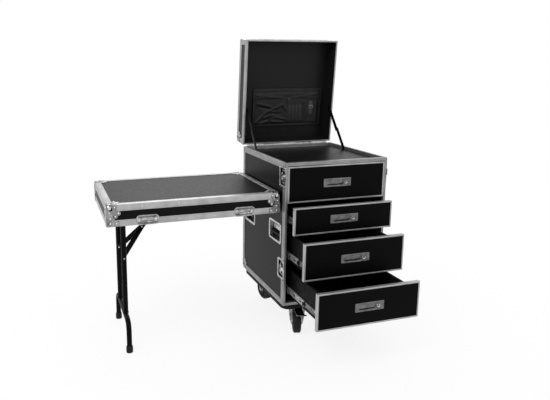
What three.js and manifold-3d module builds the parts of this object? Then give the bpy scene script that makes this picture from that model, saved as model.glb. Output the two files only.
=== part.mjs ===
// A road case with four drawers on castors. Its lid stands open on two folding stays, and its front
// cover hangs on the left side as a table, held up at the far end by a folding leg.
// Millimetres. X runs to the right, Y to the back, Z up. Zero is the middle of the case's front edge,
// on the floor, until the last lines move the model over the middle of its footprint.
import * as THREE from "three";
import { mergeVertices } from "three/addons/utils/BufferGeometryUtils.js";
import Module from "manifold-3d";

// Case body
const caseWidth = 550;
const caseDepth = 580;
const caseHeight = 714;
const panelThickness = 9;
const seatGap = 0.3;
const worktopRecess = 18;
const railDepth = 19;
const topRailHeight = 16;
const bottomRailHeight = 14;

// Aluminium edge profiles and their ball corners
const edgeWidth = 30;
const edgeThickness = 1.5;
const rimLip = 12;
const ballRadius = 18;
const ballProud = 3;
const cornerLeg = 48;

// Castors
const castorHeight = 157;
const boardThickness = 27;
const boardInset = 8;
const boardCornerRadius = 40;
const wheelRadius = 62.5;
const wheelWidth = 38;
const treadRound = 8;
const hubRadius = 24;
const hubProud = 2;
const axleRadius = 6;
const axleClearance = 0.4;
const castorTrail = 35;
const castorInset = 122;
const castorSetback = 102;
const castorPlateLength = 104;
const castorPlateWidth = 84;
const castorPlateThickness = 4;
const bearingRadius = 26;
const bearingHeight = 7;
const forkThickness = 3;
const forkClearance = 2.5;
const crownThickness = 8;
const axleNutLength = 5;
const axleNutRadius = 9;
const forkEndRadius = 13;
const pedalWidth = 36;
const pedalLength = 54;
const pedalThickness = 4;
const pedalTilt = THREE.MathUtils.degToRad(24);
const pedalPivotRadius = 5;
const frontLeftHeading = THREE.MathUtils.degToRad(160);
const frontRightHeading = THREE.MathUtils.degToRad(186);
const rearLeftHeading = THREE.MathUtils.degToRad(9);
const rearRightHeading = THREE.MathUtils.degToRad(-8);

// Drawers
const drawerSideGap = 14;
const drawerGap = 5;
const drawerEndGap = 3.5;
const topDrawerHeight = 177;
const secondDrawerHeight = 133;
const thirdDrawerHeight = 178;
const bottomDrawerHeight = 174;
const topDrawerOpening = 0;
const secondDrawerOpening = 79;
const thirdDrawerOpening = 192;
const bottomDrawerOpening = 329;
const frontThickness = 18;
const trimWidth = 10;
const trimProud = 1.2;
const boxWidth = 450;
const boxDepth = 512;
const boxWall = 12;
const boxFloor = 6;
const boxAboveFrontFoot = 16;
const boxBelowFrontTop = 24;

// Three-piece drawer slides
const slideLength = 500;
const middleLength = 470;
const slideSetback = 25;
const slideAboveFrontFoot = 48;
const slideHeight = 44;
const slideDepth = 12.7;
const slideSheet = 1.5;
const slideRun = 0.5;
const runnerThickness = 3;
const spacerLength = 44;

// Latch plates and push knobs on the drawer fronts
const pullWidth = 148;
const pullHeight = 42;
const pullProud = 2;
const fingerWidth = 88;
const fingerHeight = 26;
const fingerDepth = 12;
const fingerShift = 12;
const knobShift = 43;
const knobRadius = 8;
const knobProud = 5;
const knobShank = 9;
const knobClearance = 0.5;
const knobTravel = 3;

// Recessed spring handles on both sides
const dishLength = 150;
const dishHeight = 105;
const dishDepth = 21;
const dishFlange = 12;
const dishSheet = 1.5;
const dishProud = 1.5;
const handleBelowTable = 111;
const frontHandleSetback = 118;
const rearHandleSetback = 466;
const gripRadius = 9;
const gripArmWidth = 7;
const gripDrop = 44;
const gripPivotRadius = 3.5;

// Butterfly latches on both sides and their keepers on the cover
const latchHeight = 104;
const latchWidth = 76;
const latchFlange = 13;
const latchDepth = 9;
const latchInset = 182;
const latchBelowCaseTop = 72;
const wingLength = 46;
const wingWidth = 34;
const wingThickness = 2;
const wingHubRadius = 8;
const hookWidth = 32;
const hookReach = 5;
const keeperWidth = 46;
const keeperProud = 3;
const keeperSetback = 1;

// Lid
const lidDepth = 112;
const lidOpening = THREE.MathUtils.degToRad(85.2);
const hingeOffset = 7;
const hingeLength = 500;
const hingeLeaf = 30;
const hingeSheet = 1.7;
const knuckleRadius = 5.2;
const pinRadius = 2;
const pinClearance = 0.4;
const knuckleCount = 5;
const knuckleGap = 0.5;

// Lid stays
const stayFootSetback = 406;
const stayHeadSetback = 382;
const stayRise = 8;
const stayLowerLength = 125;
const stayWidth = 15;
const stayThickness = 3;
const stayRivetRadius = 5;
const stayRivetHead = 1.5;

// Tool pocket in the lid
const pocketWidth = 432;
const pocketHeight = 219;
const pocketThickness = 12;
const pocketFromHinge = 90;
const pocketShift = 26;
const flapHeight = 70;
const flapThickness = 4;

// Front cover, used as a table
const coverLength = 824;
const coverDepth = 102;
const tableHeight = 750;
const tableGap = 9;
const tableShift = 39;
const hangerLength = 300;
const hangerSheet = 2.2;
const hangerRise = 34;
const hangerLip = 14;

// Folding leg, its bracket and brace
const legInset = 94;
const legPivotBelowTop = 50;
const tubeRadius = 12.5;
const uprightSpacing = 194;
const feetSpacing = 384;
const crossbarHeight = 150;
const bendRadius = 46;
const capRadius = 16;
const capLength = 34;
const legRivetRadius = 6;
const legRivetProud = 2;
const bracketSheet = 3;
const bracketPlateLength = 70;
const bracketPlateWidth = 170;
const earSpacing = 140;
const earThickness = 4;
const earWidth = 38;
const earBelowPivot = 17;
const earClearance = 0.5;
const guideWidth = 48;
const guideLip = 11;
const braceDrop = 260;
const braceReach = 245;
const braceEndBelowTop = 28;
const braceWidth = 22;
const braceTipWidth = 14;
const braceThickness = 5;
const braceForkLength = 160;
const braceArmGap = 1;
const braceRivetLength = 5.5;
const sliderLength = 20;
const sliderWidth = 36;
const guideOverrun = 16;

// Facets and cutting overrun
const roundSides = 16;
const nutSides = 6;
const wheelSides = 28;
const ballSides = 12;
const ballRings = 8;
const bendSteps = 34;
const overrun = 1;

const wasm = await Module();
wasm.setup();

const finish = (color, roughness, metalness) =>
  new THREE.MeshStandardMaterial({ color, roughness, metalness });
const aluminium = finish(0xaeb0b2, 0.4, 0.9);
const laminate = finish(0x2a2a2b, 0.55, 0);
const zinc = finish(0x9a9da0, 0.35, 0.9);
const blackSteel = finish(0x141414, 0.45, 0.6);
const blackFabric = finish(0x101010, 0.9, 0);
const blackRubber = finish(0x0e0e0e, 0.75, 0);
const blackPly = finish(0x121212, 0.8, 0);

// A closed geometry as a solid that can be joined and cut
function toSolid(geometry) {
  const bare = geometry.clone();
  bare.deleteAttribute("normal");
  bare.deleteAttribute("uv");
  const merged = mergeVertices(bare);
  const vertProperties = merged.attributes.position.array;
  const triVerts = new Uint32Array(merged.index.array);
  return new wasm.Manifold(new wasm.Mesh({ numProp: 3, vertProperties, triVerts }));
}

// The parts joined to one body, less the cuts
function join(parts, cuts = []) {
  let body = parts.map(toSolid).reduce((all, part) => all.add(part));
  for (const cut of cuts) body = body.subtract(toSolid(cut));
  const mesh = body.getMesh();
  const joined = new THREE.BufferGeometry();
  joined.setAttribute("position", new THREE.BufferAttribute(mesh.vertProperties, 3));
  joined.setIndex(new THREE.BufferAttribute(mesh.triVerts, 1));
  joined.computeVertexNormals();
  return joined;
}

// A block between two places on each axis, given in either order
function block(x, y, z) {
  const size = [x, y, z].map(([a, b]) => Math.abs(b - a));
  const middle = [x, y, z].map(([a, b]) => (a + b) / 2);
  return new THREE.BoxGeometry(...size).translate(...middle);
}

// A cylinder along "x", "y" or "z", from one place to another on that axis
function rod(axis, radius, [from, to], centre, sides = roundSides) {
  const shaft = new THREE.CylinderGeometry(radius, radius, Math.abs(to - from), sides);
  if (axis === "x") shaft.rotateZ(Math.PI / 2);
  if (axis === "z") shaft.rotateX(Math.PI / 2);
  shaft.translate(...centre);
  const middle = new THREE.Vector3();
  middle[axis] = (from + to) / 2;
  return shaft.translate(middle.x, middle.y, middle.z);
}

// A flat bar with round ends in the Y-Z plane, from place a to place b, tapering from one width to the other
function flatBar(a, b, widthA, widthB, x0, x1) {
  const run = new THREE.Vector2().subVectors(b, a);
  const angle = run.angle();
  const lean = Math.acos((widthA - widthB) / 2 / run.length());
  const outline = new THREE.Shape();
  outline.absarc(0, 0, widthA / 2, lean, 2 * Math.PI - lean, false);
  outline.absarc(run.length(), 0, widthB / 2, -lean, lean, false);
  const depth = Math.abs(x1 - x0);
  const across = { depth, bevelEnabled: false, curveSegments: roundSides / 2 };
  const bar = new THREE.ExtrudeGeometry(outline, across).rotateZ(angle);
  const axes = [new THREE.Vector3(0, 1, 0), new THREE.Vector3(0, 0, 1), new THREE.Vector3(1, 0, 0)];
  const stood = new THREE.Matrix4().makeBasis(...axes);
  return bar.applyMatrix4(stood).translate(Math.min(x0, x1), a.x, a.y);
}

// A plate with round corners in the X-Y plane
function roundedPlate(width, depth, radius, z0, z1) {
  const w = width / 2 - radius;
  const d = depth / 2 - radius;
  const outline = new THREE.Shape();
  outline.absarc(w, d, radius, 0, Math.PI / 2, false);
  outline.absarc(-w, d, radius, Math.PI / 2, Math.PI, false);
  outline.absarc(-w, -d, radius, Math.PI, (3 * Math.PI) / 2, false);
  outline.absarc(w, -d, radius, (3 * Math.PI) / 2, 2 * Math.PI, false);
  const depthUp = { depth: z1 - z0, bevelEnabled: false, curveSegments: roundSides / 4 };
  return new THREE.ExtrudeGeometry(outline, depthUp).translate(0, 0, z0);
}

// The two flanges of an angle profile along one edge of a box: side 0 is the low face and side 1 the high one
function edgeAngle(box, along, sideA, sideB) {
  const [a, b] = ["x", "y", "z"].filter((axis) => axis !== along);
  const inward = (axis, side, depth) => [box[axis][side], box[axis][side] + (side ? -depth : depth)];
  const onA = { ...box, [a]: inward(a, sideA, edgeThickness), [b]: inward(b, sideB, edgeWidth) };
  const onB = { ...box, [b]: inward(b, sideB, edgeThickness), [a]: inward(a, sideA, edgeWidth) };
  return [onA, onB].map(({ x, y, z }) => block(x, y, z));
}

// A channel that caps the free edge of a wall: a flange outside, the face, and a lip inside
function rimChannel(box, wall, side, open, openSide, lip = rimLip) {
  const step = side ? -1 : 1;
  const openStep = openSide ? -1 : 1;
  const outer = box[wall][side];
  const face = box[open][openSide];
  const inner = outer + step * rimThickness;
  const skinPlace = [outer, outer + step * edgeThickness];
  const flange = { ...box, [wall]: skinPlace, [open]: [face, face + openStep * edgeWidth] };
  const cap = { ...box, [wall]: [outer, inner], [open]: [face, face + openStep * edgeThickness] };
  const lipPlace = [inner - step * edgeThickness, inner];
  const back = { ...box, [wall]: lipPlace, [open]: [face, face + openStep * lip] };
  return [flange, cap, back].map(({ x, y, z }) => block(x, y, z));
}

// A ball corner: a ball proud of the three faces and a leg along each edge
function ballCorner(box, sides) {
  const axes = ["x", "y", "z"];
  const step = (i) => (sides[i] ? -1 : 1);
  const place = (i, depth) => box[axes[i]][sides[i]] + step(i) * depth;
  const centre = axes.map((axis, i) => place(i, ballRadius - ballProud));
  const ball = new THREE.SphereGeometry(ballRadius, ballSides, ballRings).translate(...centre);
  const legs = axes.map((axis, i) => {
    const reach = (j) => (i === j ? cornerLeg : edgeWidth);
    const spans = axes.map((other, j) => [place(j, -edgeThickness), place(j, reach(j))]);
    return block(...spans);
  });
  const hollow = block(...axes.map((axis, i) => [place(i, edgeThickness), place(i, 2 * cornerLeg)]));
  return join([ball, ...legs], [hollow]);
}

function piece(parent, name, material, geometry) {
  const mesh = new THREE.Mesh(geometry, material);
  mesh.name = name;
  parent.add(mesh);
  return mesh;
}

function group(parent, x = 0, y = 0, z = 0) {
  const made = new THREE.Group();
  made.position.set(x, y, z);
  parent.add(made);
  return made;
}

// Levels and faces worked out from the driving sizes
const rimThickness = panelThickness + 2 * (edgeThickness + seatGap);
const skin = edgeThickness + seatGap;
const caseFoot = castorHeight + boardThickness;
const caseTop = caseFoot + caseHeight;
const body = { x: [-caseWidth / 2, caseWidth / 2], y: [0, caseDepth], z: [caseFoot, caseTop] };
const panelOut = caseWidth / 2 - skin;
const panelIn = panelOut - panelThickness;
const rimIn = caseWidth / 2 - rimThickness;
const worktopTop = caseTop - worktopRecess;
const frontWidth = caseWidth - 2 * drawerSideGap;
const tableFoot = tableHeight - coverDepth;
const handleHeight = tableFoot - handleBelowTable;
const legPivotHeight = tableHeight - legPivotBelowTop;
const castorX = caseWidth / 2 - castorInset;
const castorY = [castorSetback, caseDepth - castorSetback];

// Drawers from the top down
const drawers = [
  { name: "top", height: topDrawerHeight, opening: topDrawerOpening },
  { name: "second", height: secondDrawerHeight, opening: secondDrawerOpening },
  { name: "third", height: thirdDrawerHeight, opening: thirdDrawerOpening },
  { name: "bottom", height: bottomDrawerHeight, opening: bottomDrawerOpening },
];
const betweenRails = caseHeight - topRailHeight - bottomRailHeight;
const drawerRoom = betweenRails - 2 * drawerEndGap - (drawers.length - 1) * drawerGap;
const drawerHeights = drawers.reduce((sum, drawer) => sum + drawer.height, 0);
let nextTop = caseTop - topRailHeight - drawerEndGap;
for (const drawer of drawers) {
  // The drawers share the room between the rails in the proportion of their heights
  drawer.top = nextTop;
  drawer.foot = nextTop - (drawer.height * drawerRoom) / drawerHeights;
  nextTop = drawer.foot - drawerGap;
}

const model = new THREE.Group();

// Slide pieces nest from the drawer outward: runner, middle channel, fixed channel
const slideIn = boxWidth / 2;
const slideOut = slideIn + slideDepth;
const fixedLipIn = slideHeight / 2 - slideSheet;
const middleLipOut = fixedLipIn - slideRun;
const middleLipIn = middleLipOut - slideSheet;
const runnerHalf = middleLipIn - slideRun;
const middleWebOut = slideIn + runnerThickness + slideRun * 2 + slideSheet * 3;
const fixedLipReach = middleWebOut - slideSheet;
const middleLipReach = slideIn + runnerThickness / 2;

// A channel that opens towards the drawer
function slideChannel(side, webOut, lipReach, lipOut, y, z) {
  const x = (a, b) => [side * a, side * b];
  return [
    block(x(webOut - slideSheet, webOut), y, [z - lipOut, z + lipOut]),
    block(x(lipReach, webOut), y, [z + lipOut - slideSheet, z + lipOut]),
    block(x(lipReach, webOut), y, [z - lipOut, z - lipOut + slideSheet]),
  ];
}

// A pressed dish in a side panel: flange outside, walls and floor inside, and the hollow to cut
function sideDish(side, y, z, length, height, depth, flange) {
  const span = (middle, size) => [middle - size / 2, middle + size / 2];
  const slab = (from, to, wide, high) => block([side * from, side * to], span(y, wide), span(z, high));
  const out = panelOut + dishProud;
  const floor = panelOut - depth;
  const wellLength = length - 2 * flange;
  const wellHeight = height - 2 * flange;
  const sheets = 2 * dishSheet;
  const gaps = 2 * seatGap;
  const roomFloor = floor - dishSheet - seatGap;
  return {
    solids: [
      slab(out, panelOut - seatGap, length, height),
      slab(out, floor - dishSheet, wellLength + sheets, wellHeight + sheets),
    ],
    room: [
      slab(out + overrun, panelOut - gaps, length + gaps, height + gaps),
      slab(out + overrun, roomFloor, wellLength + sheets + gaps, wellHeight + sheets + gaps),
    ],
    hollow: slab(out + overrun, floor, wellLength, wellHeight),
  };
}

const handles = [
  { name: "front", y: frontHandleSetback },
  { name: "rear", y: rearHandleSetback },
];
const latches = [
  { name: "lower", z: caseFoot + latchInset },
  { name: "upper", z: caseTop - latchBelowCaseTop },
];
const sides = [
  { name: "left", side: -1 },
  { name: "right", side: 1 },
];
const latchMiddle = latchWidth / 2 + edgeThickness;

// The hook of a latch lies over its plate and reaches past the front of the case
function latchHook(side, z, gap) {
  return block(
    [side * (panelOut + dishProud - edgeThickness - gap), side * (panelOut + 2 * dishProud + gap)],
    [-hookReach - gap, latchFlange + edgeThickness],
    [z - hookWidth / 2 - gap, z + hookWidth / 2 + gap],
  );
}

// Side panels with their handle and latch dishes and the fixed slide channels on spacers
const latchRoom = [];
for (const { name, side } of sides) {
  const x = (a, b) => [side * a, side * b];
  const solids = [block(x(panelIn, panelOut), [skin, caseDepth - skin], [caseFoot + skin, caseTop - skin])];
  const hollows = [];
  for (const handle of handles) {
    const dish = sideDish(side, handle.y, handleHeight, dishLength, dishHeight, dishDepth, dishFlange);
    solids.push(...dish.solids);
    hollows.push(dish.hollow);
  }
  for (const latch of latches) {
    const dish = sideDish(side, latchMiddle, latch.z, latchWidth, latchHeight, latchDepth, latchFlange);
    solids.push(...dish.solids, latchHook(side, latch.z, 0));
    hollows.push(dish.hollow);
    latchRoom.push(...dish.room, latchHook(side, latch.z, seatGap));
  }
  for (const drawer of drawers) {
    const z = drawer.foot + slideAboveFrontFoot;
    const y = [slideSetback, slideSetback + slideLength];
    solids.push(...slideChannel(side, slideOut, fixedLipReach, slideHeight / 2, y, z));
    for (const end of [y[0] + spacerLength, y[1] - spacerLength]) {
      solids.push(
        block(
          x(slideOut - slideSheet / 2, panelIn + panelThickness / 2),
          [end - spacerLength / 2, end + spacerLength / 2],
          [z - slideHeight / 2, z + slideHeight / 2],
        ),
      );
    }
  }
  piece(model, name + "_side_panel", laminate, join(solids, hollows));
}

const between = panelIn - seatGap;
piece(
  model,
  "back_panel",
  laminate,
  block(
    [-between, between],
    [caseDepth - skin - panelThickness, caseDepth - skin],
    [caseFoot + skin, caseTop - skin],
  ),
);
piece(
  model,
  "bottom_panel",
  blackPly,
  block(
    [-between, between],
    [railDepth + seatGap, caseDepth - skin - panelThickness - seatGap],
    [caseFoot + skin, caseFoot + skin + panelThickness],
  ),
);
piece(
  model,
  "worktop",
  laminate,
  block(
    [seatGap - rimIn, rimIn - seatGap],
    [railDepth + seatGap, caseDepth - rimThickness - seatGap],
    [worktopTop - panelThickness, worktopTop],
  ),
);

// Aluminium frame: angles on the closed edges, channels round the open front and top, and two rails
{
  const parts = [];
  for (const side of [0, 1]) {
    parts.push(...edgeAngle(body, "z", side, 1));
    parts.push(...edgeAngle(body, "y", side, 0));
    parts.push(...rimChannel(body, "x", side, "y", 0, railDepth));
    const run = { ...body, y: [edgeThickness, caseDepth] };
    const [flange, cap, back] = rimChannel(run, "x", side, "z", 1, worktopRecess - seatGap);
    parts.push(flange, cap, back);
    parts.push(ballCorner(body, [side, 1, 0]));
  }
  parts.push(...edgeAngle(body, "x", 1, 0));
  const rear = rimChannel(body, "y", 1, "z", 1, worktopRecess - seatGap);
  parts.push(...rear);
  parts.push(block([-between, between], [0, railDepth], [caseTop - topRailHeight, caseTop]));
  parts.push(block([-between, between], [0, railDepth], [caseFoot, caseFoot + bottomRailHeight]));
  // The places of the panels and of the latches are cut free
  const clear = [...latchRoom];
  for (const side of [-1, 1]) {
    clear.push(
      block(
        [side * (panelIn - seatGap), side * (panelOut + seatGap)],
        [edgeThickness, caseDepth - edgeThickness],
        [caseFoot + edgeThickness, caseTop - edgeThickness],
      ),
    );
  }
  clear.push(
    block(
      [-panelOut, panelOut],
      [caseDepth - skin - panelThickness - seatGap, caseDepth - edgeThickness],
      [caseFoot + edgeThickness, caseTop - edgeThickness],
    ),
  );
  piece(model, "body_edge_frame", aluminium, join(parts, clear));
}

// Castor board with the four top plates
{
  const top = caseFoot - seatGap;
  const board = roundedPlate(
    caseWidth - 2 * boardInset,
    caseDepth - 2 * boardInset,
    boardCornerRadius,
    castorHeight,
    top,
  ).translate(0, caseDepth / 2, 0);
  const plates = [];
  for (const x of [-castorX, castorX]) {
    for (const y of castorY) {
      plates.push(
        block(
          [x - castorPlateWidth / 2, x + castorPlateWidth / 2],
          [y - castorPlateLength / 2, y + castorPlateLength / 2],
          [castorHeight - castorPlateThickness, castorHeight + seatGap],
        ),
      );
    }
  }
  // The legs of the two ball corners lie in shallow rebates
  const rebates = [-1, 1].map((side) =>
    block(
      [(side * caseWidth) / 2, side * (caseWidth / 2 - cornerLeg - seatGap)],
      [caseDepth - cornerLeg - seatGap, caseDepth],
      [caseFoot - edgeThickness - seatGap, caseFoot],
    ),
  );
  piece(model, "castor_board", blackPly, join([board, ...plates], rebates));
}

// A castor turns about its own Z axis. Its wheel trails along its +Y.
function castor(name, x, y, heading, braked) {
  const frame = group(model, x, y, 0);
  frame.rotation.z = heading;
  const plateFoot = castorHeight - castorPlateThickness - seatGap;
  const crownTop = plateFoot - bearingHeight;
  const crownFoot = crownTop - crownThickness;
  const legIn = wheelWidth / 2 + forkClearance;
  const legOut = legIn + forkThickness;
  const axle = [castorTrail, wheelRadius];
  const legs = [-1, 1].flatMap((side) => [
    flatBar(
      new THREE.Vector2(castorTrail / 3, crownFoot),
      new THREE.Vector2(...axle),
      2 * bearingRadius,
      2 * forkEndRadius,
      side * legIn,
      side * legOut,
    ),
    rod("x", axleNutRadius, [side * legIn, side * (legOut + axleNutLength)], [0, ...axle], nutSides),
  ]);
  const crownBack = bearingRadius + castorTrail / 3;
  const crown = block([-legOut, legOut], [-bearingRadius, crownBack], [crownFoot, crownTop]);
  const bearing = rod("z", bearingRadius, [crownTop - overrun, plateFoot], [0, 0, 0], roundSides);
  const shaft = rod("x", axleRadius, [-legOut, legOut], [0, ...axle]);
  // The legs end level with the crown's top
  const above = block(
    [-2 * legOut, 2 * legOut],
    [-castorPlateLength, castorPlateLength],
    [crownTop, castorHeight + bearingRadius],
  );
  const fork = join([join([crown, ...legs, shaft], [above]), bearing]);
  piece(frame, name + "_castor_fork", zinc, fork);

  const r = wheelRadius;
  const half = wheelWidth / 2;
  const bore = axleRadius + axleClearance;
  const hubHalf = half + hubProud;
  const profile = [
    [bore, -hubHalf],
    [hubRadius, -hubHalf],
    [hubRadius, -half],
    [r - treadRound, -half],
    [r - treadRound / 4, -half + treadRound / 2],
    [r, -half + treadRound],
    [r, half - treadRound],
    [r - treadRound / 4, half - treadRound / 2],
    [r - treadRound, half],
    [hubRadius, half],
    [hubRadius, hubHalf],
    [bore, hubHalf],
    [bore, -hubHalf],
  ].map(([radius, height]) => new THREE.Vector2(radius, height));
  const wheel = new THREE.LatheGeometry(profile, wheelSides).rotateZ(Math.PI / 2);
  // A facet's corner points straight down, so that the wheel stands on its full radius
  wheel.rotateX(Math.PI / 2);
  const rim = group(frame, 0, castorTrail, wheelRadius);
  piece(rim, name + "_castor_wheel", blackRubber, join([wheel]));

  if (!braked) return;
  const pedalY = crownBack + seatGap + pedalPivotRadius;
  const pedal = group(frame, 0, pedalY, crownTop - crownThickness / 2);
  pedal.rotation.x = -pedalTilt;
  const wide = [-pedalWidth / 2, pedalWidth / 2];
  const plate = block(wide, [0, pedalLength], [-pedalThickness / 2, pedalThickness / 2]);
  const toe = block(
    wide,
    [pedalLength - pedalThickness, pedalLength],
    [-2 * pedalThickness, pedalThickness / 2],
  );
  const pivot = rod("x", pedalPivotRadius, wide, [0, 0, 0]);
  piece(pedal, name + "_brake_pedal", blackSteel, join([plate, toe, pivot]));
}

castor("front_left", -castorX, castorY[0], frontLeftHeading, true);
castor("front_right", castorX, castorY[0], frontRightHeading, true);
castor("rear_left", -castorX, castorY[1], rearLeftHeading, false);
castor("rear_right", castorX, castorY[1], rearRightHeading, false);

// Handle grips hang from a pivot at the top of their dish
for (const { name, side } of sides) {
  for (const handle of handles) {
    const wellLength = dishLength - 2 * dishFlange;
    const wellTop = handleHeight + dishHeight / 2 - dishFlange;
    const pivotDepth = dishDepth - gripRadius - seatGap;
    const frame = group(model, side * (panelOut - pivotDepth), handle.y, wellTop - gripRadius - seatGap);
    const span = wellLength / 2 - seatGap;
    const grip = rod("y", gripRadius, [-span + gripArmWidth / 2, span - gripArmWidth / 2], [0, 0, -gripDrop]);
    const arms = [-1, 1].map((end) =>
      block(
        [-gripArmWidth / 2, gripArmWidth / 2],
        [end * (span - gripArmWidth), end * span],
        [-gripDrop - gripRadius / 2, gripPivotRadius],
      ),
    );
    const pivot = rod("y", gripPivotRadius, [-span, span], [0, 0, 0], roundSides / 2);
    piece(frame, name + "_" + handle.name + "_handle_grip", blackRubber, join([grip, ...arms, pivot]));
  }
}

// Butterfly wings turn about X in their latch dish
for (const { name, side } of sides) {
  for (const latch of latches) {
    const frame = group(model, side * panelOut, latchMiddle, latch.z);
    const outline = new THREE.Shape();
    const r = wingWidth / 2;
    const reach = wingLength / 2 - r;
    outline.absarc(reach, 0, r, -Math.PI / 2, Math.PI / 2, false);
    outline.absarc(-reach, 0, r, Math.PI / 2, (3 * Math.PI) / 2, false);
    const sheet = { depth: wingThickness, bevelEnabled: false, curveSegments: roundSides / 2 };
    const wing = new THREE.ExtrudeGeometry(outline, sheet);
    wing.translate(0, 0, -wingThickness / 2).rotateZ(Math.PI / 2);
    wing.rotateY(Math.PI / 2).rotateX(Math.PI / 2);
    const hub = rod("x", wingHubRadius, [0, -side * (latchDepth - seatGap)], [0, 0, 0]);
    const grip = block(
      [0, side * (wingThickness / 2 + dishProud)],
      [-wingThickness / 2, wingThickness / 2],
      [-reach - r / 2, reach + r / 2],
    );
    piece(frame, name + "_" + latch.name + "_latch_wing", zinc, join([wing, hub, grip]));
  }
}

// Drawers, each drawn shut and then pulled out by its opening
for (const drawer of drawers) {
  const out = group(model, 0, -drawer.opening, 0);
  const halfOut = group(model, 0, -drawer.opening / 2, 0);
  const slideZ = drawer.foot + slideAboveFrontFoot;
  const boxFront = frontThickness + seatGap;
  const boxBack = boxFront + boxDepth;
  const boxFoot = drawer.foot + boxAboveFrontFoot;
  const boxTop = drawer.top - boxBelowFrontTop;
  const boxX = boxWidth / 2;
  const box = block([-boxX, boxX], [boxFront, boxBack], [boxFoot, boxTop]);
  const hollow = block(
    [-boxX + boxWall, boxX - boxWall],
    [boxFront + boxWall, boxBack - boxWall],
    [boxFoot + boxFloor, boxTop + overrun],
  );
  const runners = sides.map(({ side }) =>
    block(
      [side * (boxX - overrun), side * (boxX + runnerThickness)],
      [slideSetback, slideSetback + slideLength],
      [slideZ - runnerHalf, slideZ + runnerHalf],
    ),
  );
  piece(out, drawer.name + "_drawer_box", blackPly, join([box, ...runners], [hollow]));

  for (const { name, side } of sides) {
    const y = [slideSetback, slideSetback + middleLength];
    const channel = slideChannel(side, middleWebOut, middleLipReach, middleLipOut, y, slideZ);
    piece(halfOut, drawer.name + "_drawer_" + name + "_slide", zinc, join(channel));
  }

  const half = frontWidth / 2;
  const middle = (drawer.foot + drawer.top) / 2;
  const panel = block([-half, half], [trimProud, frontThickness], [drawer.foot, drawer.top]);
  const trim = [
    block([-half, half], [0, frontThickness], [drawer.foot, drawer.foot + trimWidth]),
    block([-half, half], [0, frontThickness], [drawer.top - trimWidth, drawer.top]),
    block([-half, -half + trimWidth], [0, frontThickness], [drawer.foot, drawer.top]),
    block([half - trimWidth, half], [0, frontThickness], [drawer.foot, drawer.top]),
  ];
  const plate = block(
    [-pullWidth / 2, pullWidth / 2],
    [trimProud - pullProud, frontThickness / 2],
    [middle - pullHeight / 2, middle + pullHeight / 2],
  );
  const well = block(
    [-fingerShift - fingerWidth / 2, -fingerShift + fingerWidth / 2],
    [-pullProud - overrun, fingerDepth],
    [middle - fingerHeight / 2, middle + fingerHeight / 2],
  );
  const knobHole = rod(
    "y",
    knobRadius + knobClearance,
    [-pullProud - overrun, trimProud - pullProud + knobShank + knobTravel + seatGap],
    [knobShift, 0, middle],
  );
  piece(out, drawer.name + "_drawer_front", aluminium, join([panel, ...trim, plate], [well, knobHole]));
  const knobFace = trimProud - pullProud;
  const knob = rod("y", knobRadius, [knobFace - knobProud, knobFace + knobShank], [knobShift, 0, middle]);
  piece(out, drawer.name + "_drawer_latch_knob", zinc, join([knob]));
}

// A tray stands on its open rim at z = 0, with its middle over the origin. The lid and the cover are trays.
function trayBox(width, depth, height) {
  return { x: [-width / 2, width / 2], y: [-depth / 2, depth / 2], z: [0, height] };
}

function trayShell(box) {
  const inset = (axis, by) => [box[axis][0] + by, box[axis][1] - by];
  const outer = block(inset("x", skin), inset("y", skin), inset("z", skin));
  const wall = skin + panelThickness;
  const hollow = block(inset("x", wall), inset("y", wall), [0, box.z[1] - wall]);
  return join([outer], [hollow]);
}

function trayFrame(box, corners, extra = []) {
  const parts = [...extra];
  for (const side of [0, 1]) {
    parts.push(...edgeAngle(box, "x", side, 1));
    parts.push(...edgeAngle(box, "y", side, 1));
    parts.push(...edgeAngle(box, "z", 0, side));
    parts.push(...edgeAngle(box, "z", 1, side));
    parts.push(...rimChannel(box, "x", side, "z", 0));
    parts.push(...rimChannel(box, "y", side, "z", 0));
  }
  // The angles above cover the whole edge, and their walls' place is cut free again
  const inset = (axis, by) => [box[axis][0] + by, box[axis][1] - by];
  const wallIn = skin + panelThickness + seatGap;
  const solid = block(inset("x", edgeThickness), inset("y", edgeThickness), inset("z", edgeThickness));
  const core = block(inset("x", wallIn), inset("y", wallIn), [-overrun, box.z[1] - wallIn]);
  const shellPlace = join([solid], [core]);
  return join([...parts, ...corners.map((corner) => ballCorner(box, corner))], [shellPlace]);
}

// Lid, drawn shut about its hinge line and then swung open
const hinge = { y: caseDepth + hingeOffset, z: caseTop };
const lid = group(model, 0, hinge.y, hinge.z);
lid.rotation.x = -lidOpening;
{
  const tray = group(lid, 0, -hingeOffset - caseDepth / 2, seatGap);
  const box = trayBox(caseWidth, caseDepth, lidDepth);
  piece(tray, "lid_shell", laminate, trayShell(box));
  piece(
    tray,
    "lid_edge_frame",
    aluminium,
    trayFrame(box, [
      [0, 1, 1],
      [1, 1, 1],
    ]),
  );
  const back = lidDepth + seatGap - skin - panelThickness - seatGap;
  const low = -hingeOffset - pocketFromHinge;
  const pocket = block(
    [pocketShift - pocketWidth / 2, pocketShift + pocketWidth / 2],
    [low - pocketHeight, low],
    [back - pocketThickness, back],
  );
  const flap = block(
    [pocketShift - pocketWidth / 2, pocketShift + pocketWidth / 2],
    [low - pocketHeight, low - pocketHeight + flapHeight],
    [back - pocketThickness - flapThickness, back],
  );
  piece(lid, "tool_pocket", blackFabric, join([pocket, flap]));
}

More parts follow.
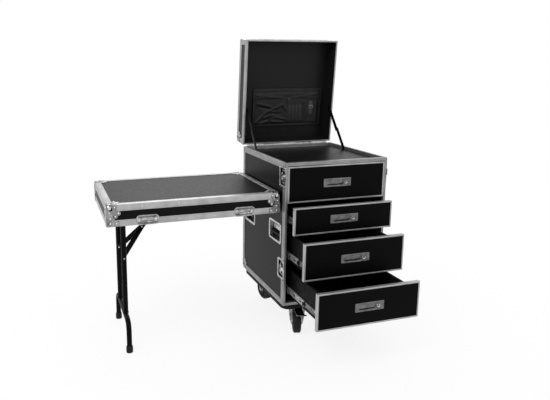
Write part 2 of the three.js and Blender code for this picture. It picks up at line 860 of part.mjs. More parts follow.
// Hinge leaves along the back: the odd knuckles and the pin belong to the body's leaf, and the even
// ones to the lid's
function hingeHalf(first, up) {
  const pitch = hingeLength / knuckleCount;
  const leafY = [-hingeOffset + seatGap, -hingeOffset + seatGap + hingeSheet];
  const leafZ = [up * (knuckleRadius + knuckleGap), up * (knuckleRadius + hingeLeaf)];
  const parts = [block([-hingeLength / 2, hingeLength / 2], leafY, leafZ)];
  for (let i = first; i < knuckleCount; i += 2) {
    const start = -hingeLength / 2 + i * pitch + knuckleGap / 2;
    const x = [start, start + pitch - knuckleGap];
    parts.push(rod("x", knuckleRadius, x, [0, 0, 0], roundSides));
    parts.push(block(x, leafY, [0, up * (knuckleRadius + 2 * knuckleGap)]));
    parts.push(block(x, [leafY[0], 0], [0, up * hingeSheet]));
  }
  return parts;
}
{
  const fixed = group(model, 0, hinge.y, hinge.z);
  const pinEnd = hingeLength / 2 - knuckleGap;
  const pin = rod("x", pinRadius, [-pinEnd, pinEnd], [0, 0, 0], roundSides);
  piece(fixed, "lid_hinge_body_leaf", zinc, join([join(hingeHalf(0, -1)), pin]));
  const bore = rod("x", pinRadius + pinClearance, [-hingeLength / 2, hingeLength / 2], [0, 0, 0], roundSides);
  piece(lid, "lid_hinge_lid_leaf", zinc, join(hingeHalf(1, 1), [bore]));
}

// Lid stays: the lower link turns on the body, the upper one on the lid, and they meet at the knee
const turned = (y, z, angle) => ({
  y: y * Math.cos(angle) - z * Math.sin(angle),
  z: y * Math.sin(angle) + z * Math.cos(angle),
});
const stayFoot = new THREE.Vector2(stayFootSetback, caseTop - stayRise);
const headShut = { y: stayHeadSetback - hinge.y, z: stayRise };
const headOpen = turned(headShut.y, headShut.z, -lidOpening);
const stayHead = new THREE.Vector2(headOpen.y + hinge.y, headOpen.z + hinge.z);
const stayRun = new THREE.Vector2().subVectors(stayHead, stayFoot);
const stayAngle = stayRun.angle();
const stayUpperLength = stayRun.length() - stayLowerLength;
for (const { name, side } of sides) {
  const lowerOut = rimIn - seatGap;
  const lowerIn = lowerOut - stayThickness;
  const upperOut = lowerIn - seatGap;
  const upperIn = upperOut - stayThickness;
  const foot = group(model, 0, stayFoot.x, stayFoot.y);
  foot.rotation.x = stayAngle;
  const start = new THREE.Vector2();
  const lowerEnd = new THREE.Vector2(stayLowerLength, 0);
  const lower = flatBar(start, lowerEnd, stayWidth, stayWidth, side * lowerIn, side * lowerOut);
  const footRivet = rod("x", stayRivetRadius, [side * (lowerIn - stayRivetHead), side * lowerOut], [0, 0, 0]);
  piece(foot, name + "_lower_lid_stay", blackSteel, join([lower, footRivet]));
  const head = group(lid, 0, headShut.y, headShut.z);
  head.rotation.x = stayAngle + Math.PI + lidOpening;
  const upperEnd = new THREE.Vector2(stayUpperLength, 0);
  const upper = flatBar(start, upperEnd, stayWidth, stayWidth, side * upperIn, side * upperOut);
  const headRivet = rod("x", stayRivetRadius, [side * (upperIn - stayRivetHead), side * lowerOut], [0, 0, 0]);
  const kneePlace = [0, stayUpperLength, 0];
  const kneeRivet = rod("x", stayRivetRadius, [side * (upperIn - stayRivetHead), side * upperOut], kneePlace);
  piece(head, name + "_upper_lid_stay", blackSteel, join([upper, headRivet, kneeRivet]));
}

// Cover as a table: its open rim faces down and its right end hangs on the left side panel
const coverBox = trayBox(coverLength, caseWidth, coverDepth);
const tableRight = -caseWidth / 2 - tableGap;
const coverMiddle = tableRight - coverLength / 2;
const cover = group(model, coverMiddle, tableShift + caseWidth / 2, tableFoot);
{
  piece(cover, "cover_shell", laminate, trayShell(coverBox));
  const keepers = [];
  for (const side of [0, 1]) {
    const step = side ? 1 : -1;
    const face = coverBox.y[side];
    for (const end of [-1, 1]) {
      const x = end * (coverLength / 2 - latchInset);
      keepers.push(
        block(
          [x - latchHeight / 2, x + latchHeight / 2],
          [face + step * keeperProud, face - step * overrun],
          [-keeperSetback, keeperWidth - keeperSetback],
        ),
      );
    }
  }
  const corners = [0, 1].flatMap((x) => [0, 1].map((y) => [x, y, 1]));
  piece(cover, "cover_edge_frame", aluminium, trayFrame(coverBox, corners, keepers));
}

// Hanging rail on the left side panel: the cover's end wall stands behind its lip
{
  const y = [tableShift + caseWidth / 2 - hangerLength / 2, tableShift + caseWidth / 2 + hangerLength / 2];
  const wall = -panelOut - seatGap;
  const lipIn = tableRight - rimThickness - seatGap;
  const shelfTop = tableFoot - seatGap;
  const plate = block([wall - hangerSheet, wall], y, [shelfTop - hangerSheet, shelfTop + hangerRise]);
  const shelf = block([lipIn - hangerSheet, wall], y, [shelfTop - hangerSheet, shelfTop]);
  const lip = block([lipIn - hangerSheet, lipIn], y, [shelfTop - hangerSheet, shelfTop + hangerLip]);
  piece(model, "table_hanging_rail", zinc, join([plate, shelf, lip]));
}

// Leg bracket under the table: a plate with two ears for the leg, and a long guide for the brace
const panelUnder = tableHeight - skin - panelThickness;
const bracketTop = panelUnder - seatGap - tableFoot;
const legX = -coverLength / 2 + legInset;
const pivotZ = legPivotHeight - tableFoot;
const braceRise = legPivotBelowTop - braceEndBelowTop + braceDrop;
const braceLength = Math.hypot(braceReach, braceRise);
{
  const guideEnd = legX + braceDrop + braceLength + guideOverrun;
  const plate = block(
    [legX - bracketPlateLength / 2, legX + bracketPlateLength / 2],
    [-bracketPlateWidth / 2, bracketPlateWidth / 2],
    [bracketTop - bracketSheet, bracketTop],
  );
  const guideSheet = [bracketTop - bracketSheet, bracketTop];
  const guide = block([legX, guideEnd], [-guideWidth / 2, guideWidth / 2], guideSheet);
  const lips = [-1, 1].map((side) =>
    block(
      [legX + bracketPlateLength, guideEnd],
      [side * (guideWidth / 2 - bracketSheet), (side * guideWidth) / 2],
      [bracketTop - guideLip, bracketTop],
    ),
  );
  const ears = [-1, 1].map((side) =>
    block(
      [legX - earWidth / 2, legX + earWidth / 2],
      [side * (earSpacing / 2 - earThickness), (side * earSpacing) / 2],
      [pivotZ - earBelowPivot, bracketTop],
    ),
  );
  const bore = rod("y", tubeRadius + earClearance, [-earSpacing, earSpacing], [legX, 0, pivotZ], roundSides);
  piece(cover, "leg_bracket", blackSteel, join([plate, guide, ...lips, ...ears], [bore]));
}

// Folding leg: two uprights on a cross tube, standing on a wide lower bow with rubber caps
{
  const leg = group(cover, legX, 0, pivotZ);
  const bowTop = crossbarHeight - legPivotHeight;
  const floor = -legPivotHeight;
  const footY = feetSpacing / 2;
  const bow = new THREE.CurvePath();
  const at = (y, z) => new THREE.Vector3(0, y, z);
  const bendFoot = bowTop - bendRadius;
  const bendIn = footY - bendRadius;
  bow.add(new THREE.LineCurve3(at(-footY, floor + seatGap), at(-footY, bendFoot)));
  bow.add(new THREE.QuadraticBezierCurve3(at(-footY, bendFoot), at(-footY, bowTop), at(-bendIn, bowTop)));
  bow.add(new THREE.LineCurve3(at(-bendIn, bowTop), at(bendIn, bowTop)));
  bow.add(new THREE.QuadraticBezierCurve3(at(bendIn, bowTop), at(footY, bowTop), at(footY, bendFoot)));
  bow.add(new THREE.LineCurve3(at(footY, bendFoot), at(footY, floor + seatGap)));
  const ring = new THREE.Shape().absarc(0, 0, tubeRadius, 0, 2 * Math.PI, false);
  const along = { steps: bendSteps, extrudePath: bow, curveSegments: ballSides / 2 };
  const bent = new THREE.ExtrudeGeometry(ring, along);
  const uprightY = uprightSpacing / 2;
  const parts = [bent, rod("y", tubeRadius, [-uprightY, uprightY], [0, 0, 0])];
  for (const side of [-1, 1]) {
    parts.push(rod("z", tubeRadius, [bowTop, 0], [0, side * uprightY, 0]));
    parts.push(rod("z", capRadius, [floor, floor + capLength], [0, side * footY, 0]));
    const head = [side * (uprightY + tubeRadius - overrun), side * (uprightY + tubeRadius + legRivetProud)];
    parts.push(rod("y", legRivetRadius, head, [0, 0, -braceDrop], roundSides / 2));
    parts.push(new THREE.SphereGeometry(tubeRadius, ballSides, ballRings).translate(0, side * uprightY, 0));
  }
  piece(leg, "leg_frame", blackSteel, join(parts));

  // Brace: two arms lean in from the uprights, run on side by side and end in a slider in the guide
  const brace = group(leg, 0, 0, -braceDrop);
  const armY = uprightY - tubeRadius - seatGap - braceRivetLength - braceThickness / 2;
  const closeY = (braceThickness + braceArmGap) / 2;
  const armAngle = Math.atan2(armY - closeY, braceForkLength);
  const arms = [-1, 1].flatMap((side) => {
    // A bar in the Y-Z plane is turned to run along X
    const bar = (length, width, tip) => {
      const half = braceThickness / 2;
      const made = flatBar(new THREE.Vector2(), new THREE.Vector2(length, 0), width, tip, -half, half);
      return made.rotateZ(-Math.PI / 2);
    };
    const leaning = bar(Math.hypot(armY - closeY, braceForkLength), braceWidth, braceWidth);
    leaning.rotateZ(-side * armAngle).translate(0, side * armY, 0);
    const straight = bar(braceLength - braceForkLength, braceWidth, braceTipWidth);
    straight.translate(braceForkLength, side * closeY, 0);
    const rivetEnd = side * (armY + braceThickness / 2 + braceRivetLength);
    return [leaning, straight, rod("y", braceWidth / 3, [side * armY, rivetEnd], [0, 0, 0])];
  });
  const slider = block(
    [braceLength - sliderLength / 2, braceLength + sliderLength / 2],
    [-sliderWidth / 2, sliderWidth / 2],
    [-braceTipWidth / 2, braceTipWidth / 2],
  );
  piece(brace, "leg_brace", blackSteel, join([...arms, slider]));
  brace.rotation.y = -Math.atan2(braceRise, braceReach);
}

// The model stands over the middle of its footprint
const footprint = new THREE.Box3().setFromObject(model, true);
const centre = footprint.getCenter(new THREE.Vector3());
model.position.set(-centre.x, -centre.y, -footprint.min.z);
const roadCase = new THREE.Group();
roadCase.add(model);

export default roadCase;
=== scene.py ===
# %% [markdown]
# # A road case with drawers, dressed for its picture
# The case stands on castors with its four drawers pulled out like steps. Its lid stands open on two
# folding stays, and its front cover hangs on the left side as a table with a folding leg.
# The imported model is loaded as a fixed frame. Every piece below is modelled in millimetres from the
# middle of the case's front edge, on the floor, and is put into the frame at the end.

# %% Load the frame
from math import acos, atan2, cos, exp, hypot, pi, radians, sin
import bmesh
import bpy
from mathutils import Matrix, Vector


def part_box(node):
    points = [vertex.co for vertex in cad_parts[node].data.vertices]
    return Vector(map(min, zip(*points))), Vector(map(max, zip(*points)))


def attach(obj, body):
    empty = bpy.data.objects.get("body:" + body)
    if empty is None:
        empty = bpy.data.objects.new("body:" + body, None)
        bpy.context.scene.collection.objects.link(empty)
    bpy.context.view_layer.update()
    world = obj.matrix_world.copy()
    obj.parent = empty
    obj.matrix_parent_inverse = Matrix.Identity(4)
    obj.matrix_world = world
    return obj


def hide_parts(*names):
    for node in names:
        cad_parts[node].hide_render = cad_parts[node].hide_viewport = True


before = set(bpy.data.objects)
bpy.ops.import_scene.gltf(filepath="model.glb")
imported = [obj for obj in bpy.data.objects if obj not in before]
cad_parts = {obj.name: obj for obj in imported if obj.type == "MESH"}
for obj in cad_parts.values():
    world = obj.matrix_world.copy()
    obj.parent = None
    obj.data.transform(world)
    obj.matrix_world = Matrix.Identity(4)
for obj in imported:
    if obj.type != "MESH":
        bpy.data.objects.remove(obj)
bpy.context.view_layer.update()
worktop_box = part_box("worktop")
front_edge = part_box("body_edge_frame")[0].y
origin = Vector(((worktop_box[0].x + worktop_box[1].x) / 2, front_edge, 0))
MM = 0.001
to_frame = Matrix.Translation(origin) @ Matrix.Scale(MM, 4)
print("case origin in the frame:", [round(v, 4) for v in origin])


def span(node):
    """A CAD node's lowest and highest corner, in millimetres from the case's origin."""
    low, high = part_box(node)
    return (low - origin) / MM, (high - origin) / MM


def centre(node):
    """The middle of a CAD node's box, in the same coordinates."""
    return sum(span(node), Vector()) / 2


def new_object(name, data):
    """An object for a mesh, lamp or camera, put into the scene."""
    made = bpy.data.objects.new(name, data)
    bpy.context.scene.collection.objects.link(made)
    return made


# %% [markdown]
# ## Small helpers
# Real cases are made of a few kinds of pieces: extruded profiles cut to length, pressed sheet, round
# rods and rivets. Each kind gets one helper that starts from a bmesh operator. A helper returns a small
# mesh of its own, which is then turned, placed and joined to the piece that it belongs to.

# %% Helpers that make simple shapes
def block(low, high, round_by=0.0, segments=2):
    """A block between two corners, its edges rounded."""
    shape = bmesh.new()
    low, high = Vector(map(min, low, high)), Vector(map(max, low, high))
    grown = Matrix.Translation((low + high) / 2) @ Matrix.Diagonal((*(high - low), 1))
    bmesh.ops.create_cube(shape, size=1, matrix=grown)
    if round_by:
        soften(shape, shape.edges, round_by, segments)
    return shape


def soften(shape, edges, by, segments=2):
    """Rounds edges by a distance."""
    bmesh.ops.bevel(shape, geom=list(edges), offset=by, segments=segments, profile=0.5,
                    affect="EDGES", material=-1)


def facing(direction, spot):
    """Turns +Z onto a direction such as (-1, 0, 0), and moves to a spot."""
    return Matrix.Translation(spot) @ Vector(direction).to_track_quat("Z", "Y").to_matrix().to_4x4()


def rod(start, end, radius, sides=20, round_by=0.0):
    """A round bar from start to end, its end edges rounded."""
    run = Vector(end) - Vector(start)
    shape = bmesh.new()
    bmesh.ops.create_cone(shape, cap_ends=True, segments=sides, radius1=radius, radius2=radius, depth=run.length,
                          matrix=facing(run, start) @ Matrix.Translation((0, 0, run.length / 2)))
    if round_by:
        rims = [edge for face in shape.faces if len(face.verts) == sides for edge in face.edges]
        soften(shape, set(rims), round_by)
    return shape


def extrude(shape, faces):
    """Extrudes faces in their place and gives the new vertices, which are still to be moved."""
    made = bmesh.ops.extrude_face_region(shape, geom=faces)["geom"]
    return [item for item in made if isinstance(item, bmesh.types.BMVert)]


def outline_plate(points, thickness):
    """A flat plate cut to an outline in X and Y, from z = 0 up to its thickness."""
    shape = bmesh.new()
    face = shape.faces.new([shape.verts.new((x, y, 0)) for x, y in points])
    bmesh.ops.translate(shape, verts=extrude(shape, [face]), vec=(0, 0, thickness))
    bmesh.ops.recalc_face_normals(shape, faces=shape.faces)
    return shape


def level_edges(plate):
    """The edges round a plate's two faces, without the upright ones between them."""
    return [edge for edge in plate.edges if abs(edge.verts[0].co.z - edge.verts[1].co.z) < 1]


def slice_at(shape, spot, normal, **settings):
    """Cuts a shape along a plane through a spot."""
    everything = shape.verts[:] + shape.edges[:] + shape.faces[:]
    bmesh.ops.bisect_plane(shape, geom=everything, plane_co=spot, plane_no=normal, **settings)


def arc(centre, radius, start, end, steps):
    """Points on an arc, in degrees, for an outline."""
    angles = [radians(start + (end - start) * i / steps) for i in range(steps + 1)]
    return [(centre[0] + radius * cos(a), centre[1] + radius * sin(a)) for a in angles]


def rounded_outline(width, height, radius, steps=4):
    """A rectangle's outline about zero, with rounded corners."""
    x, y = width / 2 - radius, height / 2 - radius
    corners = [((x, y), 0), ((-x, y), 90), ((-x, -y), 180), ((x, -y), 270)]
    return [point for middle, turn in corners for point in arc(middle, radius, turn, turn + 90, steps)]


def link_outline(length, width, tip_width=None):
    """A bar's outline with round ends: one at zero and one at its length."""
    tip_width = tip_width or width
    lean = acos((width - tip_width) / 2 / length) * 180 / pi
    return arc((0, 0), width / 2, lean, 360 - lean, 16) + arc((length, 0), tip_width / 2, -lean, lean, 8)


# %% [markdown]
# An extruded profile is a cross-section pushed along a line and sawn off at a mitre. The section here is
# a list of a few points. At each end every corner of the section gets its own place along the line,
# which is just what a saw set to 45 degrees does.

# %% Helper for extruded profiles
def profile(section, axis, start, end):
    """Extrudes a section along an axis. A section point holds the other two coordinates, in order.
    start and end are places on the axis, or functions that give one for each point of the section."""
    shape = bmesh.new()
    others = [i for i in range(3) if i != axis]

    def corner(point, place):
        spot = Vector((0, 0, 0))
        spot[others[0]], spot[others[1]] = point
        spot[axis] = place(spot) if callable(place) else place
        return spot

    face = shape.faces.new([shape.verts.new(corner(point, start)) for point in section])
    for vert in extrude(shape, [face]):
        vert.co = corner((vert.co[others[0]], vert.co[others[1]]), end)
    bmesh.ops.recalc_face_normals(shape, faces=shape.faces)
    return shape


# %% [markdown]
# Shapes are joined into a piece one by one, and a shape whose faces point inwards is turned inside out
# on the way. To finish the piece, its place in the frame goes into its mesh, and flat faces stay crisp
# while round ones shade smoothly. Then it rides on its body and stands for the CAD solids it replaces.

# %% Helpers that join shapes and finish a piece
shown_faces = {}


def join(piece, shape, place=None, finish=0):
    """Adds a shape to a piece at a place, with one of the piece's finishes, or its own for None."""
    if place is not None:
        bmesh.ops.transform(shape, matrix=place, verts=shape.verts)
    # A closed shape whose faces point inwards, as after mirroring, has a negative volume
    if shape.calc_volume(signed=True) < 0:
        bmesh.ops.reverse_faces(shape, faces=shape.faces)
    if finish is not None:
        for face in shape.faces:
            face.material_index = finish
    spare = bpy.data.meshes.new("spare")
    shape.to_mesh(spare)
    shape.free()
    piece.from_mesh(spare)
    bpy.data.meshes.remove(spare)


def finished(name, piece, body, finishes, replaces, place=None):
    """Turns a joined mesh into a piece of the scene, in the finishes given."""
    bmesh.ops.transform(piece, matrix=to_frame @ (place or Matrix()), verts=piece.verts)
    mesh = bpy.data.meshes.new(name)
    for face in piece.faces:
        face.smooth = True
    piece.to_mesh(mesh)
    piece.free()
    mesh.set_sharp_from_angle(angle=radians(35))
    for material in finishes:
        mesh.materials.append(material)
    made = new_object(name, mesh)
    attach(made, body)
    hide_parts(*replaces)
    shown_faces[name] = len(mesh.polygons)
    return made


def dome_rivet(radius=3.2, height=1.4):
    """A domed rivet head on the plane z = 0, which points up."""
    shape = bmesh.new()
    bmesh.ops.create_cone(shape, cap_ends=True, segments=10, radius1=radius, radius2=radius * 0.62,
                          depth=height, matrix=Matrix.Translation((0, 0, height / 2)))
    top = [face for face in shape.faces if face.normal.z > 0.9]
    bmesh.ops.inset_region(shape, faces=top, thickness=radius * 0.3, depth=height * 0.16)
    return shape


# %% [markdown]
# ## Camera
# The photograph was taken from the left of the case and a little above it. The view is shifted slightly,
# as it is when a picture is cropped from a larger one.

# %% Camera at the photograph's angle
camera = new_object("photo_camera", bpy.data.cameras.new("photo_camera"))
camera.location = to_frame @ Vector((-1351.7, -2364.0, 1357.7))
camera.rotation_euler = (radians(79.10), 0, radians(-17.71))
camera.data.sensor_width = 36
camera.data.lens = 36.65
camera.data.shift_x = 0.0991
camera.data.shift_y = -0.0525
bpy.context.scene.camera = camera

# %% [markdown]
# ## Light
# A product picture on white is lit by large soft boxes. Here the world is one pale dome, brighter from
# above, and three wide area lamps add direction: a key high on the left, a fill in front on the right
# and a strip behind. The floor is pale matt card, which keeps the shadow.

# %% World, lamps and floor
def linear(hex_colour):
    """An sRGB hex colour as a linear colour with alpha."""
    channels = [int(hex_colour[i:i + 2], 16) / 255 for i in (1, 3, 5)]
    return [c / 12.92 if c <= 0.04045 else ((c + 0.055) / 1.055) ** 2.4 for c in channels] + [1.0]


def add(tree, kind, inputs=None, **settings):
    """Adds a node, sets it, and gives its inputs a value or a link from another node's output."""
    made = tree.nodes.new(kind)
    for name, value in settings.items():
        setattr(made, name, value)
    for name, value in (inputs or {}).items():
        if isinstance(value, bpy.types.NodeSocket):
            tree.links.new(value, made.inputs[name])
        else:
            made.inputs[name].default_value = value
    return made


def seen_directly(tree):
    """One where the camera, a reflection or clear material looks at a backdrop, and zero for its light."""
    path = add(tree, "ShaderNodeLightPath").outputs
    seen = add(tree, "ShaderNodeMath", {0: path["Is Camera Ray"], 1: path["Is Transmission Ray"]},
               operation="MAXIMUM")
    seen = add(tree, "ShaderNodeMath", {0: seen.outputs[0], 1: path["Is Glossy Ray"]}, operation="MAXIMUM")
    return seen.outputs[0]


def light_the_world():
    world = bpy.data.worlds.new("studio_dome")
    world.use_nodes = True
    tree = world.node_tree
    tree.nodes.clear()
    direction = add(tree, "ShaderNodeTexCoord").outputs["Generated"]
    height = add(tree, "ShaderNodeSeparateXYZ", {"Vector": direction}).outputs["Z"]
    lift = add(tree, "ShaderNodeMapRange", {"Value": height, "From Min": -0.2, "From Max": 1.0,
                                            "To Min": 0.38, "To Max": 0.78})
    dome = add(tree, "ShaderNodeBackground", {"Color": linear("#ffffff"), "Strength": lift.outputs[0]})
    backdrop = add(tree, "ShaderNodeBackground", {"Color": linear("#ffffff"), "Strength": 1.0})
    both = add(tree, "ShaderNodeMixShader", {0: seen_directly(tree), 1: dome.outputs[0], 2: backdrop.outputs[0]})
    add(tree, "ShaderNodeOutputWorld", {"Surface": both.outputs[0]})
    bpy.context.scene.world = world


def soft_box(name, spot, aim, width, height, power):
    """An area lamp at a spot, aimed at a place, both in metres from the case's origin."""
    lamp = new_object(name, bpy.data.lights.new(name, "AREA"))
    lamp.data.shape = "RECTANGLE"
    lamp.data.size, lamp.data.size_y = width, height
    lamp.data.energy = power
    spot, aim = origin + Vector(spot), origin + Vector(aim)
    lamp.matrix_world = Matrix.Translation(spot) @ (aim - spot).to_track_quat("-Z", "Y").to_matrix().to_4x4()


def lay_floor():
    """A wide card on the floor, which turns into the white backdrop away from the case."""
    floor_shape = bmesh.new()
    bmesh.ops.create_grid(floor_shape, x_segments=1, y_segments=1, size=14)
    mesh = bpy.data.meshes.new("floor_card")
    floor_shape.to_mesh(mesh)
    floor = new_object("floor_card", mesh)
    card = bpy.data.materials.new("matt_card")
    card.use_nodes = True
    tree = card.node_tree
    tree.nodes.clear()
    paper = add(tree, "ShaderNodeBsdfDiffuse", {"Color": linear("#f7f7f7")})
    white = add(tree, "ShaderNodeEmission", {"Color": linear("#ffffff"), "Strength": 1.0})
    # Seen directly, the card near the case is one part paper in seven, which leaves a pale shadow, and
    # from two metres out it is all backdrop
    place = add(tree, "ShaderNodeTexCoord").outputs["Object"]
    distance = add(tree, "ShaderNodeVectorMath", {0: place}, operation="LENGTH").outputs["Value"]
    fade = add(tree, "ShaderNodeMapRange", {"Value": distance, "From Min": 0.5, "From Max": 2.0,
                                            "To Min": 0.86, "To Max": 1.0})
    seen = seen_directly(tree)
    share = add(tree, "ShaderNodeMath", {0: fade.outputs[0], 1: seen}, operation="MULTIPLY")
    both = add(tree, "ShaderNodeMixShader", {0: share.outputs[0], 1: paper.outputs[0], 2: white.outputs[0]})
    add(tree, "ShaderNodeOutputMaterial", {"Surface": both.outputs[0]})
    mesh.materials.append(card)


light_the_world()
soft_box("key_box", (-2.6, -1.2, 3.4), (-0.3, 0.3, 0.6), 2.2, 2.2, 62)
soft_box("fill_box", (1.6, -3.2, 2.4), (0.0, 0.2, 0.5), 2.0, 2.0, 16)
soft_box("back_strip", (0.4, 3.0, 2.6), (-0.2, 0.3, 0.9), 2.6, 1.0, 30)
lay_floor()
bpy.context.scene.view_settings.view_transform = "Standard"
print("lamps:", len(bpy.data.lights))

# %% [markdown]
# ## Finishes
# Every finish reads Object coordinates, which are metres in the frame, so a pattern's scale is one
# over its real size. The grain of the laminate and the orange peel of the powder coat are finer than
# a pixel from here, but they break up the highlights as the real ones do.

# %% Base for a finish
def surface(name, colour, roughness, metallic=0.0, specular=0.5):
    """A material with one shader, and the tree, shader and coordinates to build on."""
    material = bpy.data.materials.new(name)
    material.use_nodes = True
    tree = material.node_tree
    shader = tree.nodes["Principled BSDF"]
    shader.inputs["Base Color"].default_value = linear(colour)
    shader.inputs["Roughness"].default_value = roughness
    shader.inputs["Metallic"].default_value = metallic
    if not metallic:
        shader.inputs["Specular IOR Level"].default_value = specular
    place = add(tree, "ShaderNodeTexCoord").outputs["Object"]
    return material, tree, shader, place


def per_mm(size):
    """The texture scale that gives features of about this size in millimetres."""
    return 1000 / size


def speckle(tree, place, size, detail=2.0):
    """Noise whose spots are about this size in millimetres."""
    return add(tree, "ShaderNodeTexNoise", {"Vector": place, "Scale": per_mm(size), "Detail": detail}).outputs[0]


def vary(tree, shader, factor, low, high):
    """Drives a shader's roughness between two values by a pattern."""
    spread = add(tree, "ShaderNodeMapRange", {"Value": factor, "From Min": 0.3, "From Max": 0.7,
                                              "To Min": low, "To Max": high})
    tree.links.new(spread.outputs[0], shader.inputs["Roughness"])


def tint(tree, shader, factor, dark, light):
    """Drives a shader's colour between two hex colours by a pattern."""
    ramp = add(tree, "ShaderNodeValToRGB", {"Fac": factor})
    for end, position, colour in ((0, 0.35, dark), (1, 0.65, light)):
        ramp.color_ramp.elements[end].position = position
        ramp.color_ramp.elements[end].color = linear(colour)
    tree.links.new(ramp.outputs[0], shader.inputs["Base Color"])


def emboss(tree, shader, height, depth, strength=1.0):
    """Gives a shader a relief whose depth is in millimetres."""
    bump = add(tree, "ShaderNodeBump", {"Height": height, "Distance": depth * MM, "Strength": strength})
    tree.links.new(bump.outputs[0], shader.inputs["Normal"])


# %% [markdown]
# Anodised aluminium profile is matt from the etch bath, with faint clouds and small scuffs. Zinc and nickel
# are brighter and more uneven. The clouds are noise that moves the colour a little, and the scuffs are
# finer noise that moves the roughness.

# %% Aluminium, steel and zinc
def anodised_aluminium(name="anodised_aluminium", dark="#a2a2a2", light="#b5b5b5"):
    material, tree, shader, place = surface(name, light, 0.38, 0.78)
    tint(tree, shader, speckle(tree, place, 60, 2), dark, light)
    vary(tree, shader, speckle(tree, place, 8, 3), 0.33, 0.45)
    emboss(tree, shader, speckle(tree, place, 1.2), 0.01)
    return material


def pressed_zinc(name="zinc_plated_steel", dark="#727272", light="#a0a0a0", roughness=(0.24, 0.42),
                 metallic=0.9):
    material, tree, shader, place = surface(name, light, roughness[0], metallic)
    tint(tree, shader, speckle(tree, place, 22, 4), dark, light)
    vary(tree, shader, speckle(tree, place, 6, 3), *roughness)
    emboss(tree, shader, speckle(tree, place, 1.5), 0.02)
    return material


def bright_nickel():
    material, tree, shader, place = surface("nickel_plated_rivet", "#d5d5d5", 0.2, 1.0)
    vary(tree, shader, speckle(tree, place, 4), 0.14, 0.3)
    return material


# %% [markdown]
# The panels are plywood faced with a black laminate, embossed with a fine pebble so that it doesn't
# show scratches. The pebble is about 0.8 mm on the real sheet. It is drawn at 1.6 mm to be seen at all.
# The powder coat on the leg is smoother and shows a soft orange peel.

# %% Black finishes
def pebbled_laminate(name="pebbled_laminate", dark="#050505", light="#0a0a0a", specular=0.095):
    material, tree, shader, place = surface(name, light, 0.42, specular=specular)
    tint(tree, shader, speckle(tree, place, 5, 3), dark, light)
    vary(tree, shader, speckle(tree, place, 12, 3), 0.38, 0.46)
    pebbles = add(tree, "ShaderNodeTexVoronoi", {"Vector": place, "Scale": per_mm(1.6)}).outputs["Distance"]
    emboss(tree, shader, pebbles, 0.08, 0.5)
    return material


def black_powder_coat():
    material, tree, shader, place = surface("black_powder_coat", "#060606", 0.4, specular=0.06)
    vary(tree, shader, speckle(tree, place, 9, 3), 0.32, 0.48)
    emboss(tree, shader, speckle(tree, place, 1.6), 0.05, 0.6)
    return material


def stained_plywood():
    material, tree, shader, place = surface("black_stained_plywood", "#0b0b0b", 0.62, specular=0.12)
    stretched = add(tree, "ShaderNodeMapping", {"Vector": place, "Scale": (1.0, 0.09, 1.0)}).outputs[0]
    grain = add(tree, "ShaderNodeTexNoise", {"Vector": stretched, "Scale": per_mm(5), "Detail": 5.0,
                                             "Distortion": 0.4}).outputs[0]
    tint(tree, shader, grain, "#060606", "#131313")
    vary(tree, shader, speckle(tree, place, 30, 3), 0.52, 0.75)
    emboss(tree, shader, grain, 0.08, 0.5)
    return material


def moulded_rubber(name, colour, grain):
    material, tree, shader, place = surface(name, colour, 0.6, specular=0.2)
    vary(tree, shader, speckle(tree, place, 12, 3), 0.5, 0.72)
    emboss(tree, shader, speckle(tree, place, grain), 0.06, 0.6)
    return material


# %% [markdown]
# The tool pocket is woven nylon. Its threads are 0.5 mm, far below a pixel, so the weave is drawn three
# times as coarse: two bands of waves, one along and one across the cloth, crossed into a relief.

# %% Woven nylon
def woven_nylon(name, colour, thread=1.5):
    material, tree, shader, place = surface(name, colour, 0.5, specular=0.3)
    shader.inputs["Sheen Weight"].default_value = 0.08
    shader.inputs["Sheen Roughness"].default_value = 0.45
    bands = [add(tree, "ShaderNodeTexWave", {"Vector": place, "Scale": per_mm(thread) / 6.283},
                 bands_direction=way).outputs[1] for way in ("X", "Z")]
    weave = add(tree, "ShaderNodeMath", {0: bands[0], 1: bands[1]}, operation="MULTIPLY").outputs[0]
    vary(tree, shader, speckle(tree, place, 25, 3), 0.4, 0.6)
    emboss(tree, shader, weave, 0.15, 0.6)
    return material


aluminium = anodised_aluminium()
# The lid's and the body's profiles take darker copies of the same aluminium, which are painted shade
lid_aluminium_painted_shade = anodised_aluminium("anodised_lid_profile_painted_shade", "#959595", "#a6a6a6")
body_aluminium_painted_shade = anodised_aluminium("anodised_body_profile_painted_shade", "#858585", "#969696")
zinc = pressed_zinc()
# A lighter copy of the zinc plating, painted light for the slides, forks and hinge, which lie in shade
slide_zinc_painted_light = pressed_zinc("zinc_plated_slide_painted_light", "#9a9a9a", "#cacaca", (0.3, 0.45), 0.6)
# The drawers' runners take a darker zinc than the channels
dark_slide = pressed_zinc("darker_slide_runner", "#5c5c5c", "#828282", (0.35, 0.5), 0.7)
latch_steel = pressed_zinc("nickel_plated_latch", "#8c8c8c", "#b8b8b8", (0.22, 0.36))
catch_steel = pressed_zinc("nickel_plated_catch", "#5e5e5e", "#787878", (0.3, 0.44))
# A dark steel that is painted shade, put into the wells of the dishes
painted_shade_steel = pressed_zinc("painted_shade_well_steel", "#1e1e1e", "#343434", (0.35, 0.5))
nickel = bright_nickel()
laminate = pebbled_laminate()
# The drawer fronts take a darker, less glossy copy of the same laminate, which is painted shade
front_laminate_painted_shade = pebbled_laminate("laminate_on_drawers_painted_shade", "#030303", "#060606", 0.045)
